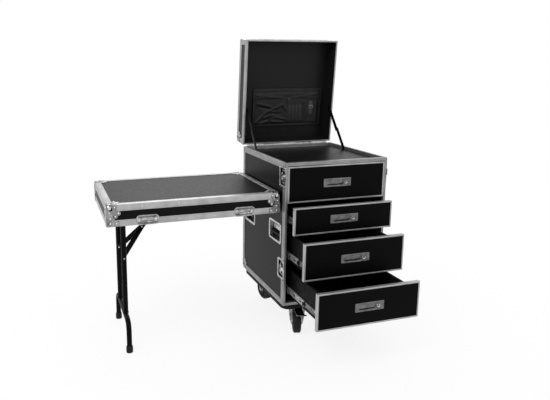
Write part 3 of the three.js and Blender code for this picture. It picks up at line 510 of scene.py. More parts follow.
# The lid's lining takes a lighter, glossier copy of the same laminate, which is painted light
lid_laminate_painted_light = pebbled_laminate("laminate_in_lid_painted_light", "#121212", "#1b1b1b", 0.14)
powder_coat = black_powder_coat()
plywood = stained_plywood()
grip_rubber = moulded_rubber("moulded_grip_rubber", "#101010", 2.5)
tread_rubber = moulded_rubber("black_tread_rubber", "#161616", 4)
nylon = woven_nylon("woven_nylon", "#050505")
webbing = woven_nylon("nylon_webbing", "#0f0f0f", 2.0)
print("finishes:", len(bpy.data.materials))

# %% [markdown]
# ## Driving sizes of the case
# The few sizes that everything else follows, in millimetres. What the frame can tell is read from it.

# %% Sizes of the case
case_half = 275
case_depth = 580
case_foot = 184
case_top = 898
flange = 30
sheet = 1.5
rim_width = 12.6
panel_out = 273.2
panel_in = 264.2
ball_radius = 18
ball_proud = 3
lobe_reach = 48
under_lobe = lobe_reach - 4
rivet_line = 14


# %% [markdown]
# ## Edge profiles
# A road case is held together by extruded aluminium: an angle on every closed edge, and on an open rim a
# channel that holds the panel and has a groove in its face. Both have a rounded back and a fine groove
# near the free edge of each flange, which catches the light as a thin line all round the case.

# %% Sections of the profiles, and rows of rivets on them
def flange_edge():
    """The outside of one flange, from its free edge inwards, as (along the flange, into the sheet)."""
    return [(flange, sheet), (flange, 0.4), (29.6, 0), (26.4, 0), (25.9, 0.7), (24.1, 0.7), (23.6, 0)]


def angle_section():
    """Two flanges and the rounded back between them."""
    one = flange_edge()
    return one + arc((3, 3), 3, 270, 180, 4) + [(v, u) for u, v in reversed(one)] + [(sheet, sheet)]


def rivet_row(piece, axis, reach, spots):
    """Small rivets along an axis from -reach to reach, on faces given by a direction and a spot."""
    count = int(2 * reach // 155)
    for direction, spot in spots:
        for i in range(count):
            place = Vector(spot)
            place[axis] += -reach + 2 * reach * (i + 0.5) / count
            join(piece, dome_rivet(2.8, 1.0), facing(direction, place), in_nickel)


def slim_rim_section():
    """The lid's edge profile, which covers only two thirds of the wall's edge."""
    outside = [(v, u) for u, v in flange_edge()]
    face = [(3.2, 0), (3.5, 0.8), (5.0, 0.8), (5.3, 0), (7.6, 0), (8.2, 0.7), (8.2, 1.6)]
    return outside + arc((2.5, 2.5), 2.5, 180, 270, 3) + face + [(sheet, 1.6)]


def rim_section(lip, flanged=True):
    """A channel over a wall: first across the wall from outside, then in from the open face. Its inner lip
    reaches in as far as lip says. Where a latch lies it has no outer flange."""
    outside = [(v, u) for u, v in flange_edge()] if flanged else [(sheet, 1.2), (0, 1.2)]
    back = arc((2.5, 2.5), 2.5, 180, 270, 3) if flanged else arc((0.8, 0.8), 0.8, 180, 270, 2)
    face = [(4.4, 0), (4.8, 1.0), (7.2, 1.0), (7.6, 0), (11.6, 0), (rim_width, 1.0)]
    inside = [(rim_width, lip), (rim_width - sheet, lip), (rim_width - sheet, sheet), (sheet, sheet)]
    return outside + back + face + inside


def fit(section, first, first_step, second, second_step):
    """Moves a section's corner to a place and turns it inwards."""
    return [(first + first_step * a, second + second_step * b) for a, b in section]


# %% [markdown]
# ## Ball corners
# A ball corner is pressed from thick steel: a dome over the point of the case, and a rounded lobe along
# each of the three edges, bent over the profile and riveted on both faces. The dome takes the knocks.
# Each lobe is a ring of the same bent section, bridged to narrower ones towards its end. All frames list
# their finishes in one order: the profile, the corner steel and the rivets' nickel.

# %% Helpers that bridge rings, and the ball corner
in_steel, in_nickel = 1, 2


def loop_edges(shape, points):
    """A closed loop of new points in a shape, as its vertices and its edges."""
    verts = [shape.verts.new(point) for point in points]
    return verts, [shape.edges.new((verts[i - 1], verts[i])) for i in range(len(verts))]


def rings(loops, close_first=True):
    """Bridges loops of points, each as long as the last, and closes the ends."""
    shape = bmesh.new()
    previous, first_verts = None, None
    for points in loops:
        verts, edges = loop_edges(shape, points)
        if previous:
            straight = max((a - b.co).length for a, b in zip(before, verts))
            bridge = bmesh.ops.bridge_loops(shape, edges=previous + edges)
            # Two loops in one plane can be joined with a twist, so they are given a slight step
            if max(edge.calc_length() for edge in bridge["edges"]) > straight * 1.5 + 0.5:
                raise ValueError("a bridge between two loops is twisted")
        before = [vert.co.copy() for vert in verts]
        first_verts = first_verts or verts
        previous = edges
    if close_first:
        shape.faces.new(first_verts)
    shape.faces.new(verts)
    bmesh.ops.recalc_face_normals(shape, faces=shape.faces)
    return shape


def lathe(section, sides):
    """A round shape about +Z from its section, a list of (radius, height)."""
    angles = [2 * pi * k / sides for k in range(sides)]
    return rings([[(r * cos(a), r * sin(a), z) for a in angles] for r, z in section])


def spun(points, middle, axis, steps):
    """A round shape with a bore: a closed section of points, turned about an axis through a middle."""
    shape = bmesh.new()
    verts, edges = loop_edges(shape, points)
    bmesh.ops.spin(shape, geom=verts + edges, cent=middle, axis=axis, dvec=(0, 0, 0),
                   angle=2 * pi, steps=steps, use_merge=True, use_normal_flip=False, use_duplicate=False)
    bmesh.ops.remove_doubles(shape, verts=shape.verts, dist=0.001)
    bmesh.ops.recalc_face_normals(shape, faces=shape.faces)
    return shape


def lobe():
    """One lobe of a ball corner, along +Z, bent over the edge that lies on the Z axis."""
    def section(width, z):
        tip = [(width, 0.8), (width, -0.7), (width - 0.8, -1.5)]
        bend = arc((6.5, 6.5), 8, 270, 180, 5)
        return [(x, y, z) for x, y in tip + bend + [(b, a) for a, b in reversed(tip)] + [(0.8, 7), (7, 0.8)]]

    widths = [(28, 0.25), (28.5, 0.62), (27, 0.8), (22, 0.93), (15, 0.985), (10, 1)]
    return rings([section(width, share * lobe_reach) for width, share in widths])


def ball_corner(piece, corner, steps):
    """A ball corner at a corner of a box, where steps are +1 or -1 towards the inside."""
    inward = Matrix.Translation(corner) @ Matrix.Diagonal((*steps, 1))
    centre_depth = ball_radius - ball_proud
    ball = bmesh.new()
    bmesh.ops.create_uvsphere(ball, u_segments=24, v_segments=14, radius=ball_radius,
                              matrix=Matrix.Translation([centre_depth] * 3))
    # What would bulge into the tray is pressed back into its walls: out of its two nearest walls, or for
    # the innermost points out of all three
    wall_depth, innermost = 5, 16
    for vert in ball.verts:
        if min(vert.co) > wall_depth:
            order = sorted(range(3), key=lambda i: vert.co[i])
            for i in order[:2] if min(vert.co) < innermost else order:
                vert.co[i] = wall_depth
    join(piece, ball, inward, in_nickel)
    # Moves X to Y, Y to Z and Z to X
    cycle = Matrix(((0, 0, 1, 0), (1, 0, 0, 0), (0, 1, 0, 0), (0, 0, 0, 1)))
    for turned in (inward, inward @ cycle, inward @ cycle @ cycle):
        join(piece, lobe(), turned, in_steel)
        for direction, spot in (((0, -1, 0), (13.5, -1.4, 38)), ((-1, 0, 0), (-1.4, 13.5, 38))):
            join(piece, dome_rivet(3.4, 1.5), turned @ facing(direction, spot), in_nickel)
        ears = arc((54, 40), 9.5, -70, 80, 5) + [(49, 49)] + arc((40, 54), 9.5, 10, 160, 5)
        plate = outline_plate([(12, 12), (40, 9), (45, 24)] + ears + [(24, 45), (9, 40)], 2.6)
        soften(plate, [edge for edge in plate.edges if min(v.co.z for v in edge.verts) > 2], 0.7)
        join(piece, plate, turned @ Matrix.Translation((0, 0, 1.7)) @ Matrix.Diagonal((1, 1, -1, 1)), in_steel)
        for x, y in ((54, 40), (40, 54)):
            join(piece, dome_rivet(3.8, 1.6), turned @ facing((0, 0, -1), (x, y, -0.8)), in_nickel)


# %% [markdown]
# ## The frame round the body
# Channels run round the open front and the top rim and meet in mitres, angles cover the closed edges, and
# two rails close the front above and below the drawers. Where a latch dish lies, the channel's outer
# flange is cut away, as a case builder does.

# %% Body frame
latch_places = [centre("left_lower_latch_wing").z, centre("left_upper_latch_wing").z]
latch_high, latch_wide = 104, 76
latch_middle = latch_wide / 2 + sheet


def body_frame():
    piece = bmesh.new()
    top_lip, front_lip = 17.7, 19
    for side in (-1, 1):
        wall, inwards = side * case_half, -side
        depth = lambda p, wall=wall: abs(p.x - wall)
        # Upright channel at the front, broken at the latches
        stops = [case_foot]
        for z in latch_places:
            stops += [z - latch_high / 2 - 0.4, z + latch_high / 2 + 0.4]
        stops.append(case_top)
        for i, (low, high) in enumerate(zip(stops, stops[1:])):
            section = fit(rim_section(front_lip, flanged=i % 2 == 0), wall, inwards, 0, 1)
            start = (lambda p: case_foot + p.y) if i == 0 else low
            end = (lambda p: case_top - p.y) if i == len(stops) - 2 else high
            join(piece, profile(section, 2, start, end))
        section = fit(rim_section(top_lip), wall, inwards, case_top, -1)
        join(piece, profile(section, 1, lambda p: case_top - p.z, lambda p: case_depth - depth(p)))
        section = fit(angle_section(), wall, inwards, case_foot, 1)
        join(piece, profile(section, 1, lambda p: p.z - case_foot, case_depth - under_lobe))
        section = fit(angle_section(), wall, inwards, case_depth, -1)
        join(piece, profile(section, 2, case_foot + under_lobe, case_top - flange))
        ball_corner(piece, (wall, case_depth, case_foot), (inwards, -1, 1))
    section = fit(rim_section(top_lip), case_depth, -1, case_top, -1)
    reach = lambda p: case_half - (case_depth - p.y)
    join(piece, profile(section, 0, lambda p: -reach(p), reach))
    section = fit(angle_section(), case_depth, -1, case_foot, 1)
    join(piece, profile(section, 0, under_lobe - case_half, case_half - under_lobe))
    end_gap, backwards = 60, (0, 1, 0)
    levels, half_way = (case_foot + rivet_line, case_top - rivet_line), (case_foot + case_top) / 2
    for side in (-1, 1):
        out, wall = (side, 0, 0), side * case_half
        rivet_row(piece, 1, case_depth / 2 - end_gap, [(out, (wall, case_depth / 2, z)) for z in levels])
        rivet_row(piece, 2, (case_top - case_foot) / 2 - end_gap,
                  [(out, (wall, case_depth - rivet_line, half_way)),
                   (backwards, (wall - side * rivet_line, case_depth, half_way))])
    rivet_row(piece, 0, case_half - end_gap, [(backwards, (0, case_depth, z)) for z in levels])
    rail_end = case_half - rim_width
    for low, high in ((case_top - 16, case_top), (case_foot, case_foot + 14)):
        middle = (low + high) / 2
        rail = [(19, low), (0.8, low), (0, low + 0.8), (0, middle - 1.4), (1.0, middle - 1), (1.0, middle + 1),
                (0, middle + 1.4), (0, high - 0.8), (0.8, high), (19, high)]
        join(piece, profile(rail, 0, -rail_end, rail_end))
    finished("body_frame", piece, "case", [body_aluminium_painted_shade, zinc, nickel], ["body_edge_frame"])


body_frame()
print("body frame faces:", shown_faces["body_frame"])

# %% [markdown]
# ## Side panels
# Each side is a laminated board with four openings: two for the recessed handles and two for the
# latches. The handles and latches sit in pressed dishes, a flat rim with rounded corners round a deep
# well. Inside, the fixed channels of the drawer slides stand off the panel on blocks.

# %% Helpers for boards with openings and for pressed dishes
def side_face(side, out):
    """Puts a shape drawn in X and Y onto a side of the case: X runs along the case, Z points outwards."""
    turn = Matrix(((0, 0, side, 0), (side, 0, 0, 0), (0, 1, 0, 0), (0, 0, 0, 1)))
    return Matrix.Translation((side * out, 0, 0)) @ turn


def front_face(y):
    """Puts a shape drawn in X and Y onto a front: Z points out of the front."""
    return Matrix.Translation((0, y, 0)) @ Matrix.Rotation(pi / 2, 4, "X")


def holed_plate(low, high, holes, thickness):
    """A plate between two corners in X and Y with rectangular holes, from z = 0 down by its thickness."""
    shape = bmesh.new()
    corners = [(low[0], low[1]), (high[0], low[1]), (high[0], high[1]), (low[0], high[1])]
    shape.faces.new([shape.verts.new((x, y, 0)) for x, y in corners])
    for x0, y0, x1, y1 in holes:
        for spot, normal in (((x0, 0, 0), (1, 0, 0)), ((x1, 0, 0), (1, 0, 0)),
                             ((0, y0, 0), (0, 1, 0)), ((0, y1, 0), (0, 1, 0))):
            slice_at(shape, spot, normal)
    inside = []
    for face in shape.faces:
        middle = face.calc_center_median()
        if any(x0 < middle.x < x1 and y0 < middle.y < y1 for x0, y0, x1, y1 in holes):
            inside.append(face)
    bmesh.ops.delete(shape, geom=inside, context="FACES")
    bmesh.ops.translate(shape, verts=extrude(shape, shape.faces[:]), vec=(0, 0, -thickness))
    bmesh.ops.recalc_face_normals(shape, faces=shape.faces)
    return shape


def pressed_dish(width, height, radius, rim, depth, finishes):
    """A dish pressed from sheet: a raised flat rim, a rounded shoulder and a well. It is made in two
    finishes, the rim's and the well's."""
    well_w, well_h, well_r = width - 2 * rim, height - 2 * rim, max(radius - rim * 0.4, 4)
    sizes = [
        (width, height, radius, 0), (width, height, radius, dish_proud / 2),
        (width - 1.2, height - 1.2, radius, dish_proud), (well_w + 3, well_h + 3, well_r + 1, dish_proud - 0.1),
        (well_w, well_h, well_r, dish_proud - 1.6), (well_w - 1, well_h - 1, well_r, 2.5 - depth),
        (well_w - 6, well_h - 6, max(well_r - 2, 2), 0.8 - depth),
    ]
    loops = [[(x, y, z) for x, y in rounded_outline(w, h, r, 5)] for w, h, r, z in sizes]
    shape = rings(loops, close_first=False)
    # The sheet is thickened away from the side that is seen
    if any(face.normal.z < -0.5 for face in shape.faces):
        bmesh.ops.reverse_faces(shape, faces=shape.faces)
    bmesh.ops.solidify(shape, geom=shape.faces[:], thickness=0.9)
    for face in shape.faces:
        face.material_index = finishes[face.calc_center_median().z < -1.2]
    return shape


# %% [markdown]
# A slide is three channels rolled from steel strip. The same C section serves the fixed and the middle
# channel, in two sizes. Its web has the screw slots that show when a drawer stands open.

# %% Helper for slide channels
def slide_channel(side, web_out, lip_in, half_high, y, z):
    """A rolled channel along Y that opens towards the drawer, with slots punched through its web."""
    piece = bmesh.new()
    length, slots = y[1] - y[0], []
    for i in range(7):
        middle = side * (y[0] + length * (i + 0.5) / 7)
        slots.append((middle - 11, z - 4, middle + 11, z + 4))
    near, far = sorted((side * y[0], side * y[1]))
    web = holed_plate((near, z - half_high + 2), (far, z + half_high - 2), slots, 1.5)
    join(piece, web, side_face(side, web_out))
    for up in (-1, 1):
        lip = [(web_out, half_high - 2.6), (web_out - 0.6, half_high - 0.8), (web_out - 2, half_high),
               (lip_in, half_high), (lip_in, half_high - 1.3), (web_out - 1.5, half_high - 1.5),
               (web_out - 1.5, half_high - 2.6)]
        join(piece, profile([(side * a, z + up * b) for a, b in lip], 1, *y))
    return piece


# %% Side panels with handle and latch dishes
# The handle dish takes a lighter copy of the zinc plating, painted light for its shaded well
dish_zinc_painted_light = pressed_zinc("zinc_plated_dish_painted_light", "#9f9f9f", "#c5c5c5", (0.22, 0.36))
# The spring housing's zinc is lighter still, painted light for the shaded upper part of the well
housing_zinc_painted_light = pressed_zinc("zinc_plated_housing_painted_light", "#c4c4c4", "#efefef", (0.3, 0.5), 0.5)
drawer_names = ["top", "second", "third", "bottom"]
dish_proud = 1.5
dish_wide, dish_high, dish_rim = 150, 105, 12
slide_rise = 48


def side_panel(name, side):
    finishes = [laminate, latch_steel, nickel, slide_zinc_painted_light, plywood, dish_zinc_painted_light, painted_shade_steel, housing_zinc_painted_light]
    of_latch, of_nickel, of_painted_light_slide, of_wood, of_painted_light_dish, of_painted_shade, of_painted_light_housing = range(1, 8)
    piece = bmesh.new()
    handle_y = [centre(name + "_front_handle_grip").y, centre(name + "_rear_handle_grip").y]
    well_top = span(name + "_front_handle_grip")[1].z + 5.8
    handle_z = well_top + dish_rim - dish_high / 2
    holes = []
    for y in handle_y:
        holes.append((side * y - 64.5, handle_z - 42, side * y + 64.5, handle_z + 42))
    for z in latch_places:
        holes.append((side * latch_middle - 26.5, z - 40.5, side * latch_middle + 26.5, z + 40.5))
    inset = 1.8
    near, far = sorted((side * inset, side * (case_depth - inset)))
    board = holed_plate((near, case_foot + inset), (far, case_top - inset), holes, panel_out - panel_in)
    join(piece, board, side_face(side, panel_out))
    for y in handle_y:
        dish = pressed_dish(dish_wide, dish_high, 15, dish_rim, 21, (of_painted_light_dish, of_painted_light_dish))
        # The well's floor is given the dark steel, which is painted shade
        for face in dish.faces:
            if face.calc_center_median().z < -16 and face.normal.z > 0.5:
                face.material_index = of_painted_shade
        place = side_face(side, panel_out) @ Matrix.Translation((side * y, handle_z, 0))
        join(piece, dish, place, None)
        # A dark plate of the same steel over the lower half of the well's back is painted shade
        join(piece, block((-58, -38, -20.5), (58, 0, -18.6), 0.8), place, of_painted_shade)
        # The spring housing is pressed out of the well's back above the grip. Its zinc is painted lighter than the
        # dish's, as painted light
        for low, high, lift in (((-50, 3), (50, 36), 5), ((-59, 3), (-52, 36), 3), ((52, 3), (59, 36), 3)):
            join(piece, block((*low, -20.5), (*high, lift - 20.5), 1.6), place, of_painted_light_housing)
        # Its rivets are in the same dark steel of painted shade
        for x in (-34, -12, 12, 34):
            join(piece, dome_rivet(3.2, 1.6), place @ Matrix.Translation((x, 24, -15.6)), of_painted_shade)
        for dy in (-69, 0, 69):
            for dz in (-46.5, 46.5):
                spot = (side * (panel_out + 1.4), y + dy, handle_z + dz)
                join(piece, dome_rivet(2.8, 1.3), facing((side, 0, 0), spot), of_nickel)
    for z in latch_places:
        # The latch dish's well is in the dark steel, which is painted shade
        dish = pressed_dish(latch_wide, latch_high, 16, 11, 9, (of_latch, of_painted_shade))
        place = side_face(side, panel_out) @ Matrix.Translation((side * latch_middle, z, 0))
        join(piece, dish, place, None)
        for up in (-1, 1):
            join(piece, block((-20, up * 27, -7.5), (20, up * 33, -4.5), 1.2), place, of_latch)
            join(piece, rod((-12, up * 20, -8), (-12, up * 20, -3.5), 3, 12, 0.8), place, of_nickel)
        for dy in (-30, 30):
            for dz in (-44, 44):
                spot = (side * (panel_out + 1.4), latch_middle + dy, z + dz)
                join(piece, dome_rivet(3.0, 1.4), facing((side, 0, 0), spot), of_nickel)
        hook = block((side * panel_out, -5, z - 16), (side * (panel_out + 3), 14.5, z + 16), 1.2)
        join(piece, hook, None, of_latch)
        tongue = block((side * (panel_out - 3), 12, z - 9), (side * (panel_out + 1.5), 40, z + 9), 1.2)
        join(piece, tongue, None, of_nickel)
    for drawer in drawer_names:
        z = span(drawer + "_drawer_front")[0].z + slide_rise
        join(piece, slide_channel(side, 237.7, 232, 17, (25, 525), z), None, of_painted_light_slide)
        for y in (69, 481):
            spacer = block((side * 237, y - 22, z - 22), (side * panel_in, y + 22, z + 22), 1.0)
            join(piece, spacer, None, of_wood)
    finished(name + "_side", piece, "case", finishes, [name + "_side_panel"])


for name, side in (("left", -1), ("right", 1)):
    side_panel(name, side)
print("side panel faces:", shown_faces["left_side"])

# %% [markdown]
# ## Castors
# Each castor has a plate bolted under a plywood board, a ball race, a pressed fork and a rubber-tyred
# wheel. The front pair has a brake pedal. Fork and pedal are drawn about the castor's own upright axis
# and turned to its heading. The wheel is spun from the cross-section of its hub and tyre.

# %% Castor board and forks
wheel_middle = {name: centre(name + "_castor_wheel")
                for name in ("front_left", "front_right", "rear_left", "rear_right")}
headings = {"front_left": 160, "front_right": 186, "rear_left": 9, "rear_right": -8}
trail = 35
axle_height = 62.5
crown_top = 145.7


def castor_place(name):
    turn = Matrix.Rotation(radians(headings[name]), 4, "Z")
    middle = wheel_middle[name] - turn @ Vector((0, trail, 0))
    return Matrix.Translation((middle.x, middle.y, 0)) @ turn


def bar_place(start, end, x):
    """Puts a shape drawn along X onto a line between two places in Y and Z, with its Z along +X."""
    run = Vector((0, end[0] - start[0], end[1] - start[1])).normalized()
    across = Vector((1, 0, 0)).cross(run)
    turn = Matrix((run, across, Vector((1, 0, 0)))).transposed().to_4x4()
    return Matrix.Translation((x, *start)) @ turn


def castor_board():
    piece = bmesh.new()
    low, high = 157, case_foot - 0.3
    board = outline_plate(rounded_outline(534, 564, 40, 8), high - low)
    soften(board, level_edges(board), 2.0)
    join(piece, board, Matrix.Translation((0, case_depth / 2, low)))
    for name in wheel_middle:
        spot = castor_place(name).translation
        plate = block((spot.x - 42, spot.y - 52, low - 4), (spot.x + 42, spot.y + 52, low), 1.0)
        join(piece, plate, None, 1)
        for dx in (-31, 31):
            for dy in (-41, 41):
                bolt = rod((spot.x + dx, spot.y + dy, 147.5), (spot.x + dx, spot.y + dy, 153.4), 6.5, 6, 0.8)
                join(piece, bolt, None, 1)
    finished("castor_base", piece, "case", [plywood, zinc], ["castor_board"])


def castor_fork(name):
    piece = bmesh.new()
    join(piece, rod((0, 0, crown_top - 3), (0, 0, 150), 39, 40, 1.2))
    join(piece, rod((0, 0, 149.2), (0, 0, 152.7), 32, 36, 0.8), None, 1)
    join(piece, rod((0, 0, crown_top - 13), (0, 0, crown_top - 7), 8, 6, 1.0), None, 1)
    crown = block((-32.5, -28, crown_top - 10), (32.5, 37.6, crown_top - 2), 3.4, 3)
    join(piece, crown)
    start, end = (trail / 3, crown_top - 8), (trail, axle_height)
    length = hypot(end[0] - start[0], end[1] - start[1])
    for side in (-1, 1):
        leg = outline_plate(link_outline(length, 50, 26), 3)
        for step in range(1, 6):
            slice_at(leg, (length * step / 6, 0, 0), (1, 0, 0))
        soften(leg, [e for e in leg.edges if len({round(f.normal.z) for f in e.link_faces}) > 1], 0.7)
        bmesh.ops.transform(leg, matrix=bar_place(start, end, 21.5 if side > 0 else -24.5), verts=leg.verts)
        slice_at(leg, (0, 0, crown_top - 2), (0, 0, 1), clear_outer=True)
        bmesh.ops.holes_fill(leg, edges=leg.edges[:])
        # The legs draw in from the crown to the axle
        for vert in leg.verts:
            vert.co.x += side * 8 * (max(0, vert.co.z - axle_height - 14) / 60) ** 1.5
        join(piece, leg)
        # The leg's front edge is curled outwards into a cheek that runs up to the crown
        cheek = outline_plate([(21.6, 143), (21.8, 44), (24, 40), (29, 46), (34, 62), (38, 85), (41, 110), (43, 130),
                               (43, 143)], 3)
        soften(cheek, level_edges(cheek), 1.2)
        stand = Matrix(((side, 0, 0, 0), (0, 0, 1, 39), (0, 1, 0, 0), (0, 0, 0, 1)))
        join(piece, cheek, stand)
        join(piece, rod((side * 38.5, 42, 138), (side * 29, 42, 66), 2.2, 10, 0.8), None, 1)
        join(piece, rod((side * 19.4, trail, axle_height), (side * 26, trail, axle_height), 11, 24, 0.6))
        join(piece, rod((side * 26, trail, axle_height), (side * 33, trail, axle_height), 9, 6, 0.8))
    join(piece, rod((-30, trail, axle_height), (30, trail, axle_height), 5.5, 16, 0.8))
    finished(name + "_fork", piece, name + "_castor", [slide_zinc_painted_light, zinc], [name + "_castor_fork"], castor_place(name))


def castor_wheel(name):
    half = [(6.4, 21), (22, 21), (24, 19.5), (25.5, 13), (43, 12), (45, 16.5), (48.5, 17.5), (50, 19),
            (55, 19), (58.6, 17.2), (60.6, 14), (61.4, 10.5), (61.4, 5)]
    section = half + [(r, -x) for r, x in reversed(half)]
    piece = spun([(x, 0, r) for r, x in section], (0, 0, 0), (1, 0, 0), 56)
    for face in piece.faces:
        middle = face.calc_center_median()
        face.material_index = 1 if hypot(middle.y, middle.z) < 46 else 0
    for i in range(6):
        for side in (-1, 1):
            spoke = block((side * 12, -2.5, 23), (side * 17, 2.5, 46), 1.0)
            join(piece, spoke, Matrix.Rotation(2 * pi * i / 6, 4, "X"), 1)
    # Two staggered rows of tread blocks
    for i in range(52):
        side = -1 if i % 2 else 1
        lug = block((side * 1.5, -2.8, 60.6), (side * 14, 2.8, 62.5), 0.5, 1)
        join(piece, lug, Matrix.Rotation(2 * pi * i / 52, 4, "X"))
    place = castor_place(name) @ Matrix.Translation((0, trail, axle_height))
    finished(name + "_wheel", piece, name + "_castor_wheel", [tread_rubber, hub_nylon],
             [name + "_castor_wheel"], place)


def brake_pedal(name):
    piece = bmesh.new()
    half, reach, sheet_top, skirt_foot, skew, tilt = 21, 60, 0.6, -4.2, 0.24, -26.4
    lever = outline_plate([(-half, 0), (half, 0), (half, reach - 4), (half - 4, reach), (-half - 9, reach),
                           (-half - 11, reach - 7), (-half, reach - 9)], 2.2)
    soften(lever, lever.edges, 0.6)
    join(piece, lever, Matrix.Translation((0, 0, -1.2)))
    join(piece, block((half - 3, 0, skirt_foot), (half, reach - 3, 1.6), 0.7), None, 1)
    join(piece, block((-half, 0, skirt_foot), (2 - half, reach - 14, sheet_top), 0.7))
    join(piece, block((4 - half, reach - 3, skirt_foot + 0.6), (half - 1, reach, 1.6), 0.7), None, 1)
    join(piece, block((2.5 - half, 10, sheet_top), (half - 4, reach - 4, 3.0), 1.0))
    for y in (16, 24, 32, 40, 48):
        join(piece, block((-13, y - 1.8, 2.6), (11, y + 1.8, 4.2), 0.7), None, 2)
    # The pedal is set over to one side. Its low edges meet the tread only when it is pressed
    for vert in piece.verts:
        vert.co.x -= skew * vert.co.y
    join(piece, rod((-half, 0, 0), (half, 0, 0), 5, 16, 0.8), None, 1)
    join(piece, rod((-half - 1, 0, 0), (half + 1, 0, 0), 2.6, 12, 0.5), None, 1)
    hung = Matrix.Translation((0, 43, crown_top - 4)) @ Matrix.Rotation(radians(tilt), 4, "X")
    node = name + "_brake_pedal"
    finished(name + "_pedal", piece, node, [powder_coat, zinc, grip_rubber], [node], castor_place(name) @ hung)


hub_nylon = moulded_rubber("moulded_grey_nylon", "#2b2b2b", 3)
castor_board()
for name in wheel_middle:
    castor_fork(name)
    castor_wheel(name)
for name in ("front_left", "front_right"):
    brake_pedal(name)
print("castor faces:", shown_faces["front_left_fork"], shown_faces["front_left_wheel"])

# %% [markdown]
# ## Handles and latches
# The recessed handle is a sprung bail: two flat arms and a thick rubber grip, which lies against the
# bottom of its dish. The latch is turned by a butterfly: a round boss with two wings that fold up.

# %% Handle grips and butterfly wings
def handle_grip(side_name, end_name):
    node = side_name + "_" + end_name + "_handle_grip"
    pivot, drop = centre(node), -44
    pivot.z = span(node)[1].z - 3.5
    piece = bmesh.new()
    sleeve = [(7.2, -56), (8.4, -55), (9, -48), (8.6, -30), (8.8, 0), (8.6, 30), (9, 48), (8.4, 55), (7.2, 56)]
    join(piece, lathe(sleeve, 20), facing((0, 1, 0), (0, 0, drop)))
    for end in (-1, 1):
        join(piece, block((-2.2, end * 56.5, drop - 4), (2.2, end * 61.5, 3.4), 1.0), None, 1)
        join(piece, rod((0, end * 54, drop), (0, end * 62.5, drop), 5.5, 16, 0.6), None, 1)
        join(piece, rod((0, end * 52, 0), (0, end * 62.6, 0), 3.4, 12, 0.5), None, 1)
        for turn in range(4):
            y = end * (43 + 3 * turn)
            join(piece, rod((0, y, 0), (0, y + 2.2, 0), 4.6, 12, 0.6), None, 1)
    join(piece, rod((0, -60, 0), (0, 60, 0), 2.2, 10), None, 1)
    finished(side_name + "_" + end_name + "_grip", piece, node, [grip_rubber, zinc], [node],
             Matrix.Translation(pivot))


def butterfly(side_name, side, level):
    node = side_name + "_" + level + "_latch_wing"
    piece = bmesh.new()
    join(piece, rod((0, 0, -8.6), (0, 0, -0.6), 8, 20))
    join(piece, rod((0, 0, -1.0), (0, 0, 0.9), 11.5, 24, 0.5))
    for way in (-1, 1):
        wing = outline_plate(arc((0, 12), 10, -50, 230, 10), 1.6)
        soften(wing, wing.edges, 0.45)
        turn = Matrix.Rotation(0 if way > 0 else pi, 4, "Z")
        join(piece, wing, turn @ Matrix.Translation((0, 0, 0.1)) @ Matrix.Rotation(radians(2.5), 4, "X"))
        join(piece, block((-8, way * 1.5, 0.5), (8, way * 3.6, 2.4), 0.6))
    join(piece, dome_rivet(4, 1.4), Matrix.Translation((0, 0, 0.9)), 1)
    place = side_face(side, panel_out) @ Matrix.Translation((side * latch_middle, centre(node).z, 0))
    finished(side_name + "_" + level + "_butterfly", piece, node, [latch_steel, nickel], [node], place)


for side_name, side in (("left", -1), ("right", 1)):
    for end_name in ("front", "rear"):
        handle_grip(side_name, end_name)
    for level in ("lower", "upper"):
        butterfly(side_name, side, level)
print("grip faces:", shown_faces["left_front_grip"], "butterfly faces:", shown_faces["left_upper_butterfly"])

# %% [markdown]
# ## Drawers
# A drawer is a plywood box with a laminated front. The front is edged with an aluminium profile whose
# corners are mitred, and has a pressed catch plate: a finger well beside a round push button. The slide's
# inner runner is screwed to the box, and its middle channel runs out half as far as the drawer.

# %% Drawer parts
front_half = 261
front_depth = 18.3
button_x, button_bore = 43, 8.3


def drawer_box(name):
    low, high = span(name + "_drawer_box")
    front_low, front_high = span(name + "_drawer_front")
    piece = bmesh.new()
    y0, y1 = low.y, high.y
    z0, z1 = front_low.z + 16, front_high.z - 24
    half, wall = 225, 12
    for side in (-1, 1):
        join(piece, block((side * (half - wall), y0, z0), (side * half, y1, z1), 1.0))
    for y in (y0, y1 - wall):
        join(piece, block((wall - half, y, z0), (half - wall, y + wall, z1 - 0.4), 0.8))
    join(piece, block((wall - half, y0 + wall, z0), (half - wall, y1 - wall, z0 + 6), 0.4))
    z = front_low.z + slide_rise
    runner_length = 500
    slide_y = (y0 + 6.7, y0 + 6.7 + runner_length)
    for side in (-1, 1):
        slot_middles = [side * (slide_y[0] + runner_length * (i + 0.5) / 8) for i in range(8)]
        slots = [(middle - 5, z - 2.5, middle + 5, z + 2.5) for middle in slot_middles]
        near, far = sorted((side * slide_y[0], side * slide_y[1]))
        runner = holed_plate((near, z - 11), (far, z + 11), slots, 1.6)
        join(piece, runner, side_face(side, half + 2), 3)
        for up in (-1, 1):
            lip = [(half, 11), (half + 2, 11), (half + 3, 12), (half + 3, 13.4), (half + 1.6, 13.4), (half, 12.4)]
            join(piece, profile([(side * a, z + up * b) for a, b in lip], 1, *slide_y), None, 3)
        for y in (slide_y[0] + 60, slide_y[0] + 440):
            join(piece, dome_rivet(4, 1.2), facing((side, 0, 0), (side * (half + 2), y, z + 6)), 2)
        for up in (-1, 1):
            tab = block((side * half, y0 + 8, z + up * 3), (side * (half + 3.4), y0 + 20, z + up * 10), 0.8)
            join(piece, tab, None, 1)
    finishes = [plywood, slide_zinc_painted_light, nickel, dark_slide]
    finished(name + "_box", piece, name + "_drawer", finishes, [name + "_drawer_box"])


